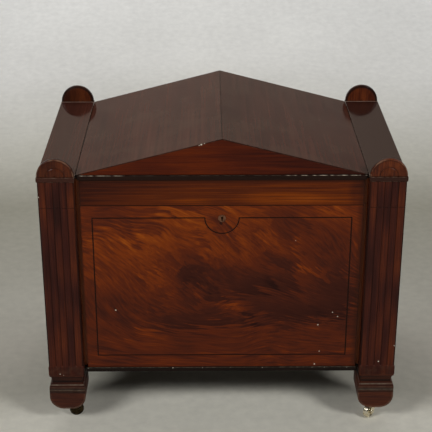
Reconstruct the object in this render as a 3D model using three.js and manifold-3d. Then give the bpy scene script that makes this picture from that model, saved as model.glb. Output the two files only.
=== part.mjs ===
// Mahogany cellarette: a bottle case between reeded corner posts, under a hinged
// lid with a low gabled roof, on four brass castors.
// Millimetres. +Z is up, the front faces -Y, and +X is on the right seen from the front.
// The origin is on the floor, under the middle of the object.
import * as THREE from 'three';
import { mergeVertices } from 'three/addons/utils/BufferGeometryUtils.js';
import Module from 'manifold-3d';

const wasm = await Module();
wasm.setup();

// Clearances
const joint_gap = 0.3;            // between pieces that touch on the real object
const cut_overrun = 1;            // how far a cutting solid runs past the face it cuts

// Main sizes of the whole
const case_width = 720;           // across the outer faces of the corner posts
const cap_depth = 469;            // front to back along a cap board, the deepest piece
const post_width = 72;            // corner posts are square in plan
const cap_lip = 1.5;              // caps and feet stand out this far from the posts
const castor_height = 40;         // floor to the underside of a foot
const foot_height = 60;           // the lobed block of a foot
const neck_height = 20;           // the hollow moulding between foot and post
const block_height = 20;          // the plain block under the reeding
const reed_length = 362;          // block to the joint between case and lid
const head_height = 55;           // the part of a post that lifts with the lid
const cap_thickness = 10;
const roof_rise = 74.5;           // ridge above the top of the caps

// Boards
const board_thickness = 18;       // front, back and end boards
const panel_recess = 12;          // front board behind the faces of the posts
const quirk_width = 8.5;          // dark groove between front board and posts
const quirk_depth = 9;            // bottom of that groove behind the front board's face
const side_recess = 12;           // end blocks behind the outer faces of the posts
const edge_lip = 3;               // lid board and base board stand out from the boards
const edge_side_lip = 3.5;        // the same, past the ends of the front board
const base_thickness = 10;
const base_drop = 6;              // top of the base board below the start of the reeding
const roof_thickness = 12;
const pediment_thickness = 14;

// Hinges
const hinge_length = 60;
const hinge_margin = 78;          // end of each hinge from the end of the back board
const knuckle_count = 5;
const knuckle_radius = 4;
const knuckle_sides = 16;
const pin_radius = 1.6;
const leaf_margin = 2;            // front edge of a leaf from the inner face of its board
const leaf_thickness = 1.8;
const knuckle_shelter = 1;        // room left under the caps' overhang behind the knuckles

// Heights of the stack, from the floor up
const foot_top = castor_height + foot_height;
const block_bottom = foot_top + neck_height;
const block_top = block_bottom + block_height;
const case_top = block_top + reed_length;
const lid_bottom = case_top + joint_gap;
const cap_bottom = case_top + head_height;
const cap_top = cap_bottom + cap_thickness;
const ridge_top = cap_top + roof_rise;
const head_top = cap_bottom - joint_gap;
const base_top = block_top - base_drop;
const base_bottom = base_top - base_thickness;
const board_bottom = base_top + joint_gap;

// Places across the width and the depth
const post_outer = case_width / 2;
const post_inner = post_outer - post_width;
const post_middle = post_outer - post_width / 2;
const cap_outer = post_outer + cap_lip;
const cap_inner = post_inner - cap_lip;
const cap_front = -cap_depth / 2;
const cap_rear = cap_depth / 2;
const front_y = cap_front + cap_lip;
const rear_y = cap_rear - 2 * knuckle_radius - knuckle_shelter;
const front_post_back = front_y + post_width;
const rear_post_front = rear_y - post_width;
const panel_front = front_y + panel_recess;
const panel_back = panel_front + board_thickness;
const back_inner = rear_y - board_thickness;
const panel_half = post_inner - quirk_width;
const between_posts = post_inner - joint_gap;
const end_inner = post_inner - board_thickness;
const block_outer = post_outer - side_recess;
const quirk_y = panel_front + quirk_depth;
const edge_half = panel_half + edge_side_lip;
const edge_front = panel_front - edge_lip;

// Colours and finishes, one for each kind of surface
function finish(color, roughness, metalness = 0) {
  return () => new THREE.MeshStandardMaterial({ color, roughness, metalness });
}
const figured_mahogany = finish(0x8e4a20, 0.35);
const plain_mahogany = finish(0x7a3a1e, 0.38);
const dark_mahogany = finish(0x56291c, 0.42);
const polished_mahogany = finish(0x6a4234, 0.2);
const ebonised_wood = finish(0x2b1c16, 0.4);
const baize = finish(0x2f5a3c, 0.95);
const zinc = finish(0x7d8184, 0.5, 0.9);
const brass = finish(0xb9924a, 0.32, 1);
const dark_brass = finish(0x6f5a35, 0.45, 1);

// Ways to make and combine solids
function solidOf(geometry) {
  const bare = geometry.clone();
  bare.deleteAttribute('normal');
  bare.deleteAttribute('uv');
  const merged = mergeVertices(bare);
  const mesh = new wasm.Mesh({
    numProp: 3,
    vertProperties: new Float32Array(merged.attributes.position.array),
    triVerts: new Uint32Array(merged.index.array),
  });
  return new wasm.Manifold(mesh);
}

function geometryOf(solid) {
  const mesh = solid.getMesh();
  const geometry = new THREE.BufferGeometry();
  geometry.setAttribute('position', new THREE.BufferAttribute(mesh.vertProperties, 3));
  geometry.setIndex(new THREE.BufferAttribute(mesh.triVerts, 1));
  geometry.computeVertexNormals();
  return geometry;
}

function cut(geometry, ...tools) {
  let solid = solidOf(geometry);
  for (const tool of tools) {
    solid = solid.subtract(solidOf(tool));
  }
  return geometryOf(solid);
}

function join(geometry, ...others) {
  let solid = solidOf(geometry);
  for (const other of others) {
    solid = solid.add(solidOf(other));
  }
  return geometryOf(solid);
}

function common(geometry, other) {
  return geometryOf(solidOf(geometry).intersect(solidOf(other)));
}

// A box between two corners, given as low and high on each axis.
function box([x0, x1], [y0, y1], [z0, z1]) {
  const geometry = new THREE.BoxGeometry(x1 - x0, y1 - y0, z1 - z0);
  return geometry.translate((x0 + x1) / 2, (y0 + y1) / 2, (z0 + z1) / 2);
}

function shapeOf(points) {
  return new THREE.Shape(points.map(([a, b]) => new THREE.Vector2(a, b)));
}

function extrude(shape, depth) {
  return new THREE.ExtrudeGeometry(shape, { depth, bevelEnabled: false });
}

// A plan outline in X and Y, raised from z0 to z1.
function raise(points, [z0, z1]) {
  return extrude(shapeOf(points), z1 - z0).translate(0, 0, z0);
}

// A front outline in X and Z, carried from y0 back to y1.
function carryBack(shape, [y0, y1]) {
  return extrude(shape, y1 - y0).rotateX(Math.PI / 2).translate(0, y1, 0);
}

// A side outline in Y and Z, carried from x0 across to x1.
function carryAcross(points, [x0, x1]) {
  const turn = new THREE.Matrix4().makeBasis(
    new THREE.Vector3(0, 1, 0),
    new THREE.Vector3(0, 0, 1),
    new THREE.Vector3(1, 0, 0),
  );
  return extrude(shapeOf(points), x1 - x0).applyMatrix4(turn).translate(x0, 0, 0);
}

// Points along an elliptic arc, both ends included.
function arc([cx, cy], [rx, ry], from, to, steps) {
  const points = [];
  for (let i = 0; i <= steps; i += 1) {
    const angle = from + ((to - from) * i) / steps;
    points.push([cx + rx * Math.cos(angle), cy + ry * Math.sin(angle)]);
  }
  return points;
}

// A low and high pair on either side of the middle plane: side is 1 on the right, -1 on the left.
function onSide(side, low, high) {
  return side > 0 ? [low, high] : [-high, -low];
}

function mirrored(points, side) {
  return points.map(([x, y]) => [side * x, y]);
}

const object = new THREE.Group();
const case_group = new THREE.Group();
const lid_group = new THREE.Group();
object.add(case_group, lid_group);

function add(group, name, geometry, material) {
  const mesh = new THREE.Mesh(geometry, material());
  mesh.name = name;
  group.add(mesh);
  return mesh;
}

const sides = [['left', -1], ['right', 1]];

// Corner posts, reeded on the front faces only
const reed_count = 5;
const reed_margin = 1.9;          // flat strip beside the outermost reeds
const reed_depth = 2.6;
const reed_steps = 6;

// Plan outline of a front post: a row of rounded reeds along its front edge.
function reededPlan(side) {
  const points = [[post_inner, front_post_back], [post_inner, front_y + reed_depth]];
  const pitch = (post_width - 2 * reed_margin) / reed_count;
  for (let i = 0; i < reed_count; i += 1) {
    const middle = post_inner + reed_margin + (i + 1 / 2) * pitch;
    const reed = arc([middle, front_y + reed_depth], [pitch / 2, reed_depth],
      -Math.PI, 0, reed_steps);
    points.push(...(i === 0 ? reed : reed.slice(1)));
  }
  points.push([post_outer, front_y + reed_depth], [post_outer, front_post_back]);
  return mirrored(points, side);
}

for (const [word, side] of sides) {
  const across = onSide(side, post_inner, post_outer);
  const front = [front_y, front_post_back];
  const rear = [rear_post_front, rear_y];
  const reeds = raise(reededPlan(side), [block_top, case_top]);
  const plain = box(across, front, [block_bottom, block_top]);
  add(case_group, `post_front_${word}`, join(reeds, plain), dark_mahogany);
  add(case_group, `post_rear_${word}`, box(across, rear, [block_bottom, case_top]), dark_mahogany);
  const head = raise(reededPlan(side), [lid_bottom, head_top]);
  add(lid_group, `lid_head_front_${word}`, head, dark_mahogany);
  add(lid_group, `lid_head_rear_${word}`, box(across, rear, [lid_bottom, head_top]), dark_mahogany);
}

// Ends of the case: an inner board, rebated for the front board, and the built-up block
// outside it, between the posts. Each end of the lid is one solid rail of the same plan.
const block_front = front_post_back + joint_gap;
const block_rear = rear_post_front - joint_gap;
const end_rear = back_inner - joint_gap;
const rebate_half = panel_half + joint_gap;
const rebate_y = panel_back + joint_gap;

for (const [word, side] of sides) {
  const rebated = [
    [end_inner, rebate_y], [rebate_half, rebate_y], [rebate_half, quirk_y],
    [between_posts, quirk_y], [between_posts, end_rear], [end_inner, end_rear],
  ];
  const end_board = raise(mirrored(rebated, side), [board_bottom, case_top]);
  add(case_group, `end_board_${word}`, end_board, plain_mahogany);

  const end_block = box(onSide(side, post_inner, block_outer), [block_front, block_rear],
    [board_bottom, case_top]);
  add(case_group, `end_block_${word}`, end_block, plain_mahogany);

  const rail = [
    [end_inner, rebate_y], [rebate_half, rebate_y], [rebate_half, quirk_y],
    [between_posts, quirk_y], [between_posts, block_front], [block_outer, block_front],
    [block_outer, block_rear], [between_posts, block_rear], [between_posts, end_rear],
    [end_inner, end_rear],
  ];
  add(lid_group, `lid_end_${word}`, raise(mirrored(rail, side), [lid_bottom, head_top]),
    plain_mahogany);
}

// Base board: its edge shows as a dark bead under the front board and the end blocks
function basePlan() {
  const half = [
    [edge_half, edge_front], [edge_half, quirk_y], [between_posts, quirk_y],
    [between_posts, block_front], [block_outer + edge_lip, block_front],
    [block_outer + edge_lip, block_rear], [between_posts, block_rear],
    [between_posts, rear_y],
  ];
  return [...half, ...mirrored(half, -1).reverse()];
}
add(case_group, 'base_board', raise(basePlan(), [base_bottom, base_top]), ebonised_wood);

// Lock: case, bolt and strike plate, with the keyhole above the half-round tablet
const lock_width = 64;
const lock_height = 42;
const lock_cover = 6;             // wood left in front of the lock
const lock_wall = 1.5;
const key_drop = 26;              // keyhole below the joint with the lid
const key_radius = 2.6;
const key_slot_half = 1.2;
const key_slot_drop = 8;          // bottom of the slot below the keyhole's middle
const key_steps = 12;
const bolt_half = 7;
const bolt_thickness = 5;
const bolt_tail_half = 14;
const bolt_length = 32;
const bolt_tail_height = 12;
const bolt_travel = 7;
const strike_length = 44;
const strike_margin = 1;          // strike plate narrower than the lock on each side
const strike_thickness = 2;
const mortise_spare = 3;          // room above the bolt when it is thrown
const key_z = case_top - key_drop;
const lock_bottom = case_top - lock_height;
const lock_front = panel_front + lock_cover;
const bolt_y = (lock_front + panel_back) / 2;

// Keyhole outline: the lower part of a circle open into a straight slot.
function keyholePoints(grow) {
  const radius = key_radius + grow;
  const half = key_slot_half + grow;
  const meet = Math.asin(half / radius);
  const round = arc([0, key_z], [radius, radius], -Math.PI / 2 + meet,
    (3 * Math.PI) / 2 - meet, key_steps);
  return [...round, [-half, key_z - key_slot_drop], [half, key_z - key_slot_drop]];
}

const lock_half = lock_width / 2;
const lock_inside_half = lock_half - lock_wall;
const bolt_side = [-bolt_half - joint_gap, bolt_half + joint_gap];
const bolt_span = [bolt_y - bolt_thickness / 2 - joint_gap, bolt_y + bolt_thickness / 2 + joint_gap];
const lock_box = box([-lock_half, lock_half], [lock_front + joint_gap, panel_back],
  [lock_bottom + joint_gap, case_top]);
const lock_inside = box([-lock_inside_half, lock_inside_half],
  [lock_front + joint_gap + lock_wall, panel_back + cut_overrun],
  [lock_bottom + joint_gap + lock_wall, case_top - lock_wall]);
const bolt_slot = box(bolt_side, bolt_span, [case_top - lock_wall - cut_overrun, case_top + cut_overrun]);
const key_way = carryBack(shapeOf(keyholePoints(0)), [panel_front - cut_overrun, bolt_y]);
add(case_group, 'lock_case', cut(lock_box, lock_inside, bolt_slot, key_way), dark_brass);

const bolt_top = case_top - joint_gap;
const bolt_y_span = [bolt_y - bolt_thickness / 2, bolt_y + bolt_thickness / 2];
const bolt_stem = box([-bolt_half, bolt_half], bolt_y_span, [bolt_top - bolt_length, bolt_top]);
const bolt_tail = box([-bolt_tail_half, bolt_tail_half], bolt_y_span,
  [bolt_top - bolt_length, bolt_top - bolt_length + bolt_tail_height]);
add(case_group, 'lock_bolt', join(bolt_stem, bolt_tail), brass);

const strike_half = strike_length / 2;
const strike_span = [lock_front + strike_margin, panel_back - strike_margin];
const strike_top = lid_bottom + strike_thickness;
const bolt_hole = box(bolt_side, bolt_span, [lid_bottom - cut_overrun, strike_top + cut_overrun]);
const strike = box([-strike_half, strike_half], strike_span, [lid_bottom, strike_top]);
add(lid_group, 'strike_plate', cut(strike, bolt_hole), brass);

// Inlaid string: a rectangle whose top side dips round a half-round tablet
const string_width = 2;
const string_depth = 1.5;
const string_side_margin = 22.5;  // middle of an upright string from the board's end
const string_top_margin = 26.6;   // middle of the top string from the joint with the lid
const string_bottom_margin = 28.5;
const tablet_radius = 34;
const tablet_steps = 24;
const string_half = panel_half - string_side_margin;
const string_top = case_top - string_top_margin;
const string_bottom = base_top + string_bottom_margin;

// The field inside the string, drawn in by inset: the tablet's arc grows as the field shrinks.
function fieldPoints(inset) {
  const radius = tablet_radius + inset;
  const half = string_half - inset;
  const dip = Math.asin(inset / radius);
  const tablet = arc([0, string_top], [radius, radius], -dip, -Math.PI + dip, tablet_steps);
  return [
    [half, string_bottom + inset], [half, string_top - inset], ...tablet,
    [-half, string_top - inset], [-half, string_bottom + inset],
  ];
}

function stringRing(half_width, span) {
  const ring = shapeOf(fieldPoints(-half_width));
  ring.holes.push(new THREE.Path(fieldPoints(half_width).map(([a, b]) => new THREE.Vector2(a, b))));
  return carryBack(ring, span);
}

add(case_group, 'string_inlay', stringRing(string_width / 2, [panel_front, panel_front + string_depth]),
  ebonised_wood);

// Front board, with the string's groove, the lock's pocket and the keyhole
const string_groove = stringRing(string_width / 2 + joint_gap,
  [panel_front - cut_overrun, panel_front + string_depth + joint_gap]);
const lock_pocket = box([-lock_half - joint_gap, lock_half + joint_gap],
  [lock_front, panel_back + cut_overrun], [lock_bottom, case_top + cut_overrun]);
const front_blank = box([-panel_half, panel_half], [panel_front, panel_back],
  [board_bottom, case_top]);
add(case_group, 'front_board', cut(front_blank, string_groove, lock_pocket, key_way),
  figured_mahogany);

// Front board of the lid, with the strike plate's seat and the bolt's mortise
const strike_seat = box([-strike_half - joint_gap, strike_half + joint_gap],
  [strike_span[0] - joint_gap, strike_span[1] + joint_gap],
  [lid_bottom - cut_overrun, strike_top + joint_gap]);
const mortise = box(bolt_side, bolt_span,
  [lid_bottom - cut_overrun, bolt_top + bolt_travel + mortise_spare]);
const frieze_blank = box([-panel_half, panel_half], [panel_front, panel_back],
  [lid_bottom, head_top]);
add(lid_group, 'lid_front_board', cut(frieze_blank, strike_seat, mortise), plain_mahogany);

// Keyhole plate: a thin brass ring on the face of the front board
const plate_radius = 7.7;
const plate_thickness = 1.2;
const plate_steps = 24;
const plate_back = panel_front - joint_gap;
const plate_shape = new THREE.Shape(arc([0, key_z - key_radius / 2], [plate_radius, plate_radius],
  0, 2 * Math.PI, plate_steps).slice(1).map(([a, b]) => new THREE.Vector2(a, b)));
const plate_slot_drop = 6.5;      // the plate's own slot ends inside its rim
const plate_hole = keyholePoints(0).map(([a, b]) => new THREE.Vector2(a,
  Math.max(b, key_z - plate_slot_drop)));
plate_shape.holes.push(new THREE.Path(plate_hole));
add(case_group, 'keyhole_plate', carryBack(plate_shape, [plate_back - plate_thickness, plate_back]),
  brass);

// Hinges at the back: two leaves with alternate knuckles, and a pin through them
const hinge_y = rear_y + joint_gap + knuckle_radius;
const hinge_z = case_top + joint_gap / 2;
const leaf_front = back_inner + leaf_margin;
const hinge_middle = between_posts - hinge_margin - hinge_length / 2;
const knuckle_length = (hinge_length - (knuckle_count - 1) * joint_gap) / knuckle_count;
const leaf_heights = { case: [case_top - leaf_thickness, case_top],
  lid: [lid_bottom, lid_bottom + leaf_thickness] };

function rodAcross(radius, [x0, x1], sides_round) {
  const rod = new THREE.CylinderGeometry(radius, radius, x1 - x0, sides_round);
  return rod.rotateZ(Math.PI / 2).translate((x0 + x1) / 2, hinge_y, hinge_z);
}

// One leaf: a flat plate, and a tab and a knuckle at every second place along the pin.
function hingeLeaf(middle, heights, first) {
  const start = middle - hinge_length / 2;
  const end = middle + hinge_length / 2;
  const pieces = [];
  for (let i = first; i < knuckle_count; i += 2) {
    const low = start + i * (knuckle_length + joint_gap);
    const span = [low, low + knuckle_length];
    pieces.push(rodAcross(knuckle_radius, span, knuckle_sides));
    pieces.push(box(span, [leaf_front, hinge_y], heights));
  }
  const plate = join(box([start, end], [leaf_front, rear_y], heights), ...pieces);
  const bore = rodAcross(pin_radius + joint_gap, [start - cut_overrun, end + cut_overrun],
    knuckle_sides);
  return cut(plate, bore);
}

function leafSeat(middle, [low, high], opening) {
  const half = hinge_length / 2 + joint_gap;
  const heights = opening === 'up' ? [low - joint_gap, high + cut_overrun]
    : [low - cut_overrun, high + joint_gap];
  return box([middle - half, middle + half], [leaf_front - joint_gap, rear_y + cut_overrun], heights);
}

const case_seats = [];
const lid_seats = [];
for (const [word, side] of sides) {
  const middle = side * hinge_middle;
  add(case_group, `hinge_case_leaf_${word}`, hingeLeaf(middle, leaf_heights.case, 0), brass);
  add(lid_group, `hinge_lid_leaf_${word}`, hingeLeaf(middle, leaf_heights.lid, 1), brass);
  const pin_span = [middle - hinge_length / 2, middle + hinge_length / 2];
  add(case_group, `hinge_pin_${word}`, rodAcross(pin_radius, pin_span, knuckle_sides), dark_brass);
  case_seats.push(leafSeat(middle, leaf_heights.case, 'up'));
  lid_seats.push(leafSeat(middle, leaf_heights.lid, 'down'));
}

// Back boards of case and lid, flush with the rear posts, with the hinges let in
const back_blank = box([-between_posts, between_posts], [back_inner, rear_y],
  [board_bottom, case_top]);
const lid_back_blank = box([-between_posts, between_posts], [back_inner, rear_y],
  [lid_bottom, head_top]);
add(case_group, 'back_board', cut(back_blank, ...case_seats), plain_mahogany);
add(lid_group, 'lid_back_board', cut(lid_back_blank, ...lid_seats), plain_mahogany);

// Bottle well: a metal lining, and thin boards lapped into one another to make the cells
const liner_thickness = 2;
const liner_drop = 5;             // rim of the lining below the top of the case
const divider_thickness = 8;
const divider_drop = 65;          // top of the dividers below the top of the case
const cells_across = 4;
const cells_deep = 3;
const liner_x = end_inner - joint_gap;
const liner_front = panel_back + joint_gap;
const liner_rear = back_inner - joint_gap;
const liner_floor = board_bottom + liner_thickness;
const well_x = liner_x - liner_thickness;
const well_front = liner_front + liner_thickness;
const well_rear = liner_rear - liner_thickness;
const liner_block = box([-liner_x, liner_x], [liner_front, liner_rear],
  [board_bottom, case_top - liner_drop]);
const liner_space = box([-well_x, well_x], [well_front, well_rear],
  [liner_floor, case_top + cut_overrun]);
add(case_group, 'well_liner', cut(liner_block, liner_space), zinc);

const divider_bottom = liner_floor + joint_gap;
const divider_top = case_top - divider_drop;
const lap_z = (divider_bottom + divider_top) / 2;
const lap_half = divider_thickness / 2 + joint_gap;
const divider_x = well_x - joint_gap;
const divider_front = well_front + joint_gap;
const divider_rear = well_rear - joint_gap;

// Middles of evenly spaced dividers between two ends.
function dividerPlaces(low, high, cells) {
  const places = [];
  for (let i = 1; i < cells; i += 1) {
    places.push(low + ((high - low) * i) / cells);
  }
  return places;
}
const across_places = dividerPlaces(-divider_x, divider_x, cells_across);
const deep_places = dividerPlaces(divider_front, divider_rear, cells_deep);

// Outline of a divider with a slot at each crossing, from its top or from its bottom.
function slottedOutline(low, high, places, from_top) {
  const outline = [[low, divider_bottom]];
  const lower = places.flatMap((p) => [[p - lap_half, divider_bottom], [p - lap_half, lap_z + joint_gap],
    [p + lap_half, lap_z + joint_gap], [p + lap_half, divider_bottom]]);
  const upper = places.flatMap((p) => [[p - lap_half, divider_top], [p - lap_half, lap_z - joint_gap],
    [p + lap_half, lap_z - joint_gap], [p + lap_half, divider_top]]);
  if (!from_top) {
    outline.push(...lower);
  }
  outline.push([high, divider_bottom], [high, divider_top]);
  if (from_top) {
    outline.push(...upper.reverse());
  }
  outline.push([low, divider_top]);
  return outline;
}

const divider_half = divider_thickness / 2;
across_places.forEach((x, i) => {
  const outline = slottedOutline(divider_front, divider_rear, deep_places, true);
  add(case_group, `cross_divider_${i + 1}`, carryAcross(outline, [x - divider_half, x + divider_half]),
    baize);
});
deep_places.forEach((y, i) => {
  const outline = shapeOf(slottedOutline(-divider_x, divider_x, across_places, false));
  add(case_group, `long_divider_${i + 1}`, carryBack(outline, [y - divider_half, y + divider_half]),
    baize);
});

// Lid board: it lies on the lid's frame, and its dark edge shows under the roof
add(lid_group, 'lid_board', box([-edge_half, edge_half], [edge_front, rear_y],
  [cap_bottom, cap_top]), ebonised_wood);

// Roof: a gable board at each end, and two sloping boards between them that meet at the ridge
const roof_bottom = cap_top + joint_gap;
const roof_slope = (ridge_top - roof_bottom) / edge_half;
const roof_drop = roof_thickness * Math.hypot(1, roof_slope);   // thickness measured upright
const gable_rear = cap_rear - cap_lip - panel_recess;
const gable_places = { front: [panel_front, panel_front + pediment_thickness],
  rear: [gable_rear - pediment_thickness, gable_rear] };
const gable = shapeOf([[-edge_half, roof_bottom], [edge_half, roof_bottom], [0, ridge_top]]);
for (const [word, span] of Object.entries(gable_places)) {
  add(lid_group, `gable_${word}`, carryBack(gable, span), plain_mahogany);
}

const roof_span = [gable_places.front[1] + joint_gap, gable_places.rear[0] - joint_gap];
for (const [word, side] of sides) {
  const seam = joint_gap / 2;
  const seam_top = ridge_top - seam * roof_slope;
  const slope = [
    [seam, seam_top], [edge_half, roof_bottom],
    [edge_half - roof_drop / roof_slope, roof_bottom], [seam, seam_top - roof_drop],
  ];
  add(lid_group, `roof_${word}`, carryBack(shapeOf(mirrored(slope, side)), roof_span),
    polished_mahogany);
}

// Caps over the ends, each with a half-disc standing at its front and its rear
const disc_lip = 0.5;             // half-disc wider than the post on each side
const disc_thickness = 11;
const disc_steps = 24;
const disc_line_inset = 15.5;     // scored half circle inside the rim
const disc_line_width = 1.2;
const disc_line_depth = 0.8;
const disc_bottom = cap_top + joint_gap;
const disc_radius = post_width / 2 + disc_lip;
const disc_line_radius = disc_radius - disc_line_inset;

function halfRound(middle, radius) {
  return arc([middle, disc_bottom], [radius, radius], 0, Math.PI, disc_steps);
}

// A half-disc with a scored half circle on both faces.
function halfDisc(middle, [y0, y1]) {
  const disc = carryBack(shapeOf(halfRound(middle, disc_radius)), [y0, y1]);
  const outer = halfRound(middle, disc_line_radius + disc_line_width / 2);
  const inner = halfRound(middle, disc_line_radius - disc_line_width / 2);
  const line = shapeOf([...outer, ...inner.reverse()]);
  const near = carryBack(line, [y0 - cut_overrun, y0 + disc_line_depth]);
  const far = carryBack(line, [y1 - disc_line_depth, y1 + cut_overrun]);
  return cut(disc, near, far);
}

for (const [word, side] of sides) {
  const middle = side * post_middle;
  add(lid_group, `cap_${word}`, box(onSide(side, cap_inner, cap_outer), [cap_front, cap_rear],
    [cap_bottom, cap_top]), polished_mahogany);
  const front_disc = [front_y, front_y + disc_thickness];
  const disc_rear = cap_rear - cap_lip;
  const rear_disc = [disc_rear - disc_thickness, disc_rear];
  add(lid_group, `half_disc_front_${word}`, halfDisc(middle, front_disc), dark_mahogany);
  add(lid_group, `half_disc_rear_${word}`, halfDisc(middle, rear_disc), dark_mahogany);
}

// Feet: a lobed block under a hollow neck, with lines and a sunk field on its face
const neck_fillet = 2.5;          // upright edge over the hollow
const neck_inset = 4.5;
const neck_flat = 3;              // straight part of the neck over the shoulder
const shoulder_drop = 13;
const lobe_flat_half = 9.5;       // flat under the lobe, between its rounded corners
const profile_steps = 6;
const lobe_steps = 8;
const band_height = 10;           // lined band between shoulder and sunk field
const band_line_count = 3;
const band_line_width = 1.2;
const line_depth = 0.8;
const field_border = 3.5;
const pintle_radius = 4;
const pintle_length = 22;
const round_sides = 20;

const post_half = post_width / 2;
const lobe_half = post_half + cap_lip;
const lobe_top = foot_top - shoulder_drop;
const lobe_round = lobe_half - lobe_flat_half;

// Half outline from the top of the neck to the widest level of the lobe.
function neckProfile() {
  const top = block_bottom - joint_gap;
  const neck_half = post_half - neck_inset;
  const neck_low = foot_top + neck_flat;
  const hollow = arc([post_half, neck_low], [neck_inset, top - neck_fillet - neck_low],
    Math.PI / 2, Math.PI, profile_steps);
  const shoulder = arc([neck_half, lobe_top], [lobe_half - neck_half, shoulder_drop],
    Math.PI / 2, 0, profile_steps);
  return [[post_half, top], ...hollow, ...shoulder];
}

function bothHalves(half_points, middle) {
  const right = half_points.map(([a, b]) => [middle + a, b]);
  const left = half_points.map(([a, b]) => [middle - a, b]).reverse();
  return [...right, ...left];
}

function lobeProfile(half, bottom, round) {
  return arc([half - round, bottom + round], [round, round], 0, -Math.PI / 2, lobe_steps);
}

// end is -1 at the front and 1 at the rear: the lined face looks outwards.
function foot(side, end) {
  const middle_x = side * post_middle;
  const middle_y = end < 0 ? front_y + post_half : rear_y - post_half;
  const face_y = middle_y + end * lobe_half;
  const wide = [middle_y - lobe_half - cut_overrun, middle_y + lobe_half + cut_overrun];
  const face_view = [...neckProfile(), ...lobeProfile(lobe_half, castor_height, lobe_round)];
  const side_view = [...neckProfile(), [lobe_half, castor_height]];
  const across = [middle_x - lobe_half - cut_overrun, middle_x + lobe_half + cut_overrun];
  const body = common(carryBack(shapeOf(bothHalves(face_view, middle_x)), wide),
    carryAcross(bothHalves(side_view, middle_y), across));

  const depth = [Math.min(face_y - end * line_depth, face_y + end * cut_overrun),
    Math.max(face_y - end * line_depth, face_y + end * cut_overrun)];
  const tools = [];
  for (let i = 0; i < band_line_count; i += 1) {
    const z = lobe_top - (band_height * i) / band_line_count;
    tools.push(box(across, depth, [z - band_line_width, z]));
  }
  const field_half = lobe_half - field_border;
  const field = [[field_half, lobe_top - band_height],
    ...lobeProfile(field_half, castor_height + field_border, lobe_round - field_border)];
  tools.push(carryBack(shapeOf(bothHalves(field, middle_x)), depth));

  const bore = new THREE.CylinderGeometry(pintle_radius + joint_gap, pintle_radius + joint_gap,
    pintle_length + joint_gap + cut_overrun, round_sides);
  bore.rotateX(Math.PI / 2);
  bore.translate(middle_x, middle_y, castor_height + (pintle_length + joint_gap - cut_overrun) / 2);
  return { geometry: cut(body, ...tools, bore), middle_x, middle_y };
}

// Castors: a horn that swivels on its pintle, with the axle riveted through it, and a wheel
const wheel_clear = 5.7;          // between the wheel and the crown over it
const wheel_width = 12;
const wheel_dish = 1.5;           // hollow in each side of the wheel
const wheel_rim = 3.5;
const hub_radius = 6;
const axle_radius = 2.4;
const axle_head = 1.2;            // rivet heads beyond the cheeks
const cheek_thickness = 2.6;
const cheek_clear = 1;            // between a cheek and the wheel
const cheek_round = 5.5;
const cheek_steps = 8;
const crown_rim = 2.4;            // crown beyond the cheeks
const crown_thickness = 4;
const castor_trail = 13;
const wheel_steps = 28;
const crown_top = castor_height - joint_gap;
const crown_bottom = crown_top - crown_thickness;
const wheel_radius = (crown_bottom - wheel_clear) / 2;
const cheek_inner = wheel_width / 2 + cheek_clear;
const cheek_outer = cheek_inner + cheek_thickness;
const crown_radius = cheek_outer + crown_rim;

// Upright rod on the pintle's axis, between two heights.
function rodUp(radius, [z0, z1]) {
  const rod = new THREE.CylinderGeometry(radius, radius, z1 - z0, round_sides);
  return rod.rotateX(Math.PI / 2).translate(0, 0, (z0 + z1) / 2);
}

// Level rod on the wheel's axis, from one side to the other.
function rodLevel(radius, [y0, y1]) {
  const rod = new THREE.CylinderGeometry(radius, radius, y1 - y0, round_sides);
  return rod.translate(castor_trail, (y0 + y1) / 2, wheel_radius);
}

function castorHorn() {
  const crown_middle = crown_top - crown_thickness / 2;
  const half_crown = Math.sqrt(crown_radius ** 2 - cheek_outer ** 2);
  const outline = shapeOf([
    [half_crown, crown_middle],
    ...arc([castor_trail, wheel_radius], [cheek_round, cheek_round], Math.PI / 4,
      -3 * Math.PI / 4, cheek_steps),
    [-half_crown, crown_middle],
  ]);
  const crown = rodUp(crown_radius, [crown_bottom, crown_top]);
  const pintle = rodUp(pintle_radius, [crown_middle, castor_height + pintle_length]);
  const near = carryBack(outline, [-cheek_outer, -cheek_inner]);
  const far = carryBack(outline, [cheek_inner, cheek_outer]);
  const axle = rodLevel(axle_radius, [-cheek_outer - axle_head, cheek_outer + axle_head]);
  return join(crown, pintle, near, far, axle);
}

function castorWheel() {
  const bore = axle_radius + joint_gap;
  const half = wheel_width / 2;
  const rim = wheel_radius - wheel_rim;
  const shoulder = wheel_rim / 2;
  const profile = [
    [bore, -half], [hub_radius, -half], [hub_radius, wheel_dish - half], [rim, wheel_dish - half],
    [rim, -half], [wheel_radius - shoulder, -half], [wheel_radius, shoulder - half],
    [wheel_radius, half - shoulder], [wheel_radius - shoulder, half], [rim, half],
    [rim, half - wheel_dish], [hub_radius, half - wheel_dish], [hub_radius, half], [bore, half],
    [bore, -half],
  ].map(([r, y]) => new THREE.Vector2(r, y));
  return new THREE.LatheGeometry(profile, wheel_steps).translate(castor_trail, 0, wheel_radius);
}

// Each castor's heading at rest, in degrees from +X to the side its wheel trails.
const castor_headings = [
  ['front_left', -1, -1, 15], ['front_right', 1, -1, 232],
  ['rear_left', -1, 1, 318], ['rear_right', 1, 1, 165],
];
for (const [word, side, end, heading] of castor_headings) {
  const { geometry, middle_x, middle_y } = foot(side, end);
  add(case_group, `foot_${word}`, geometry, dark_mahogany);
  const castor = new THREE.Group();
  castor.position.set(middle_x, middle_y, 0);
  castor.rotation.z = THREE.MathUtils.degToRad(heading);
  add(castor, `castor_horn_${word}`, castorHorn(), brass);
  add(castor, `castor_wheel_${word}`, castorWheel(), brass);
  object.add(castor);
}

export default object;
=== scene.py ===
import math

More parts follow.
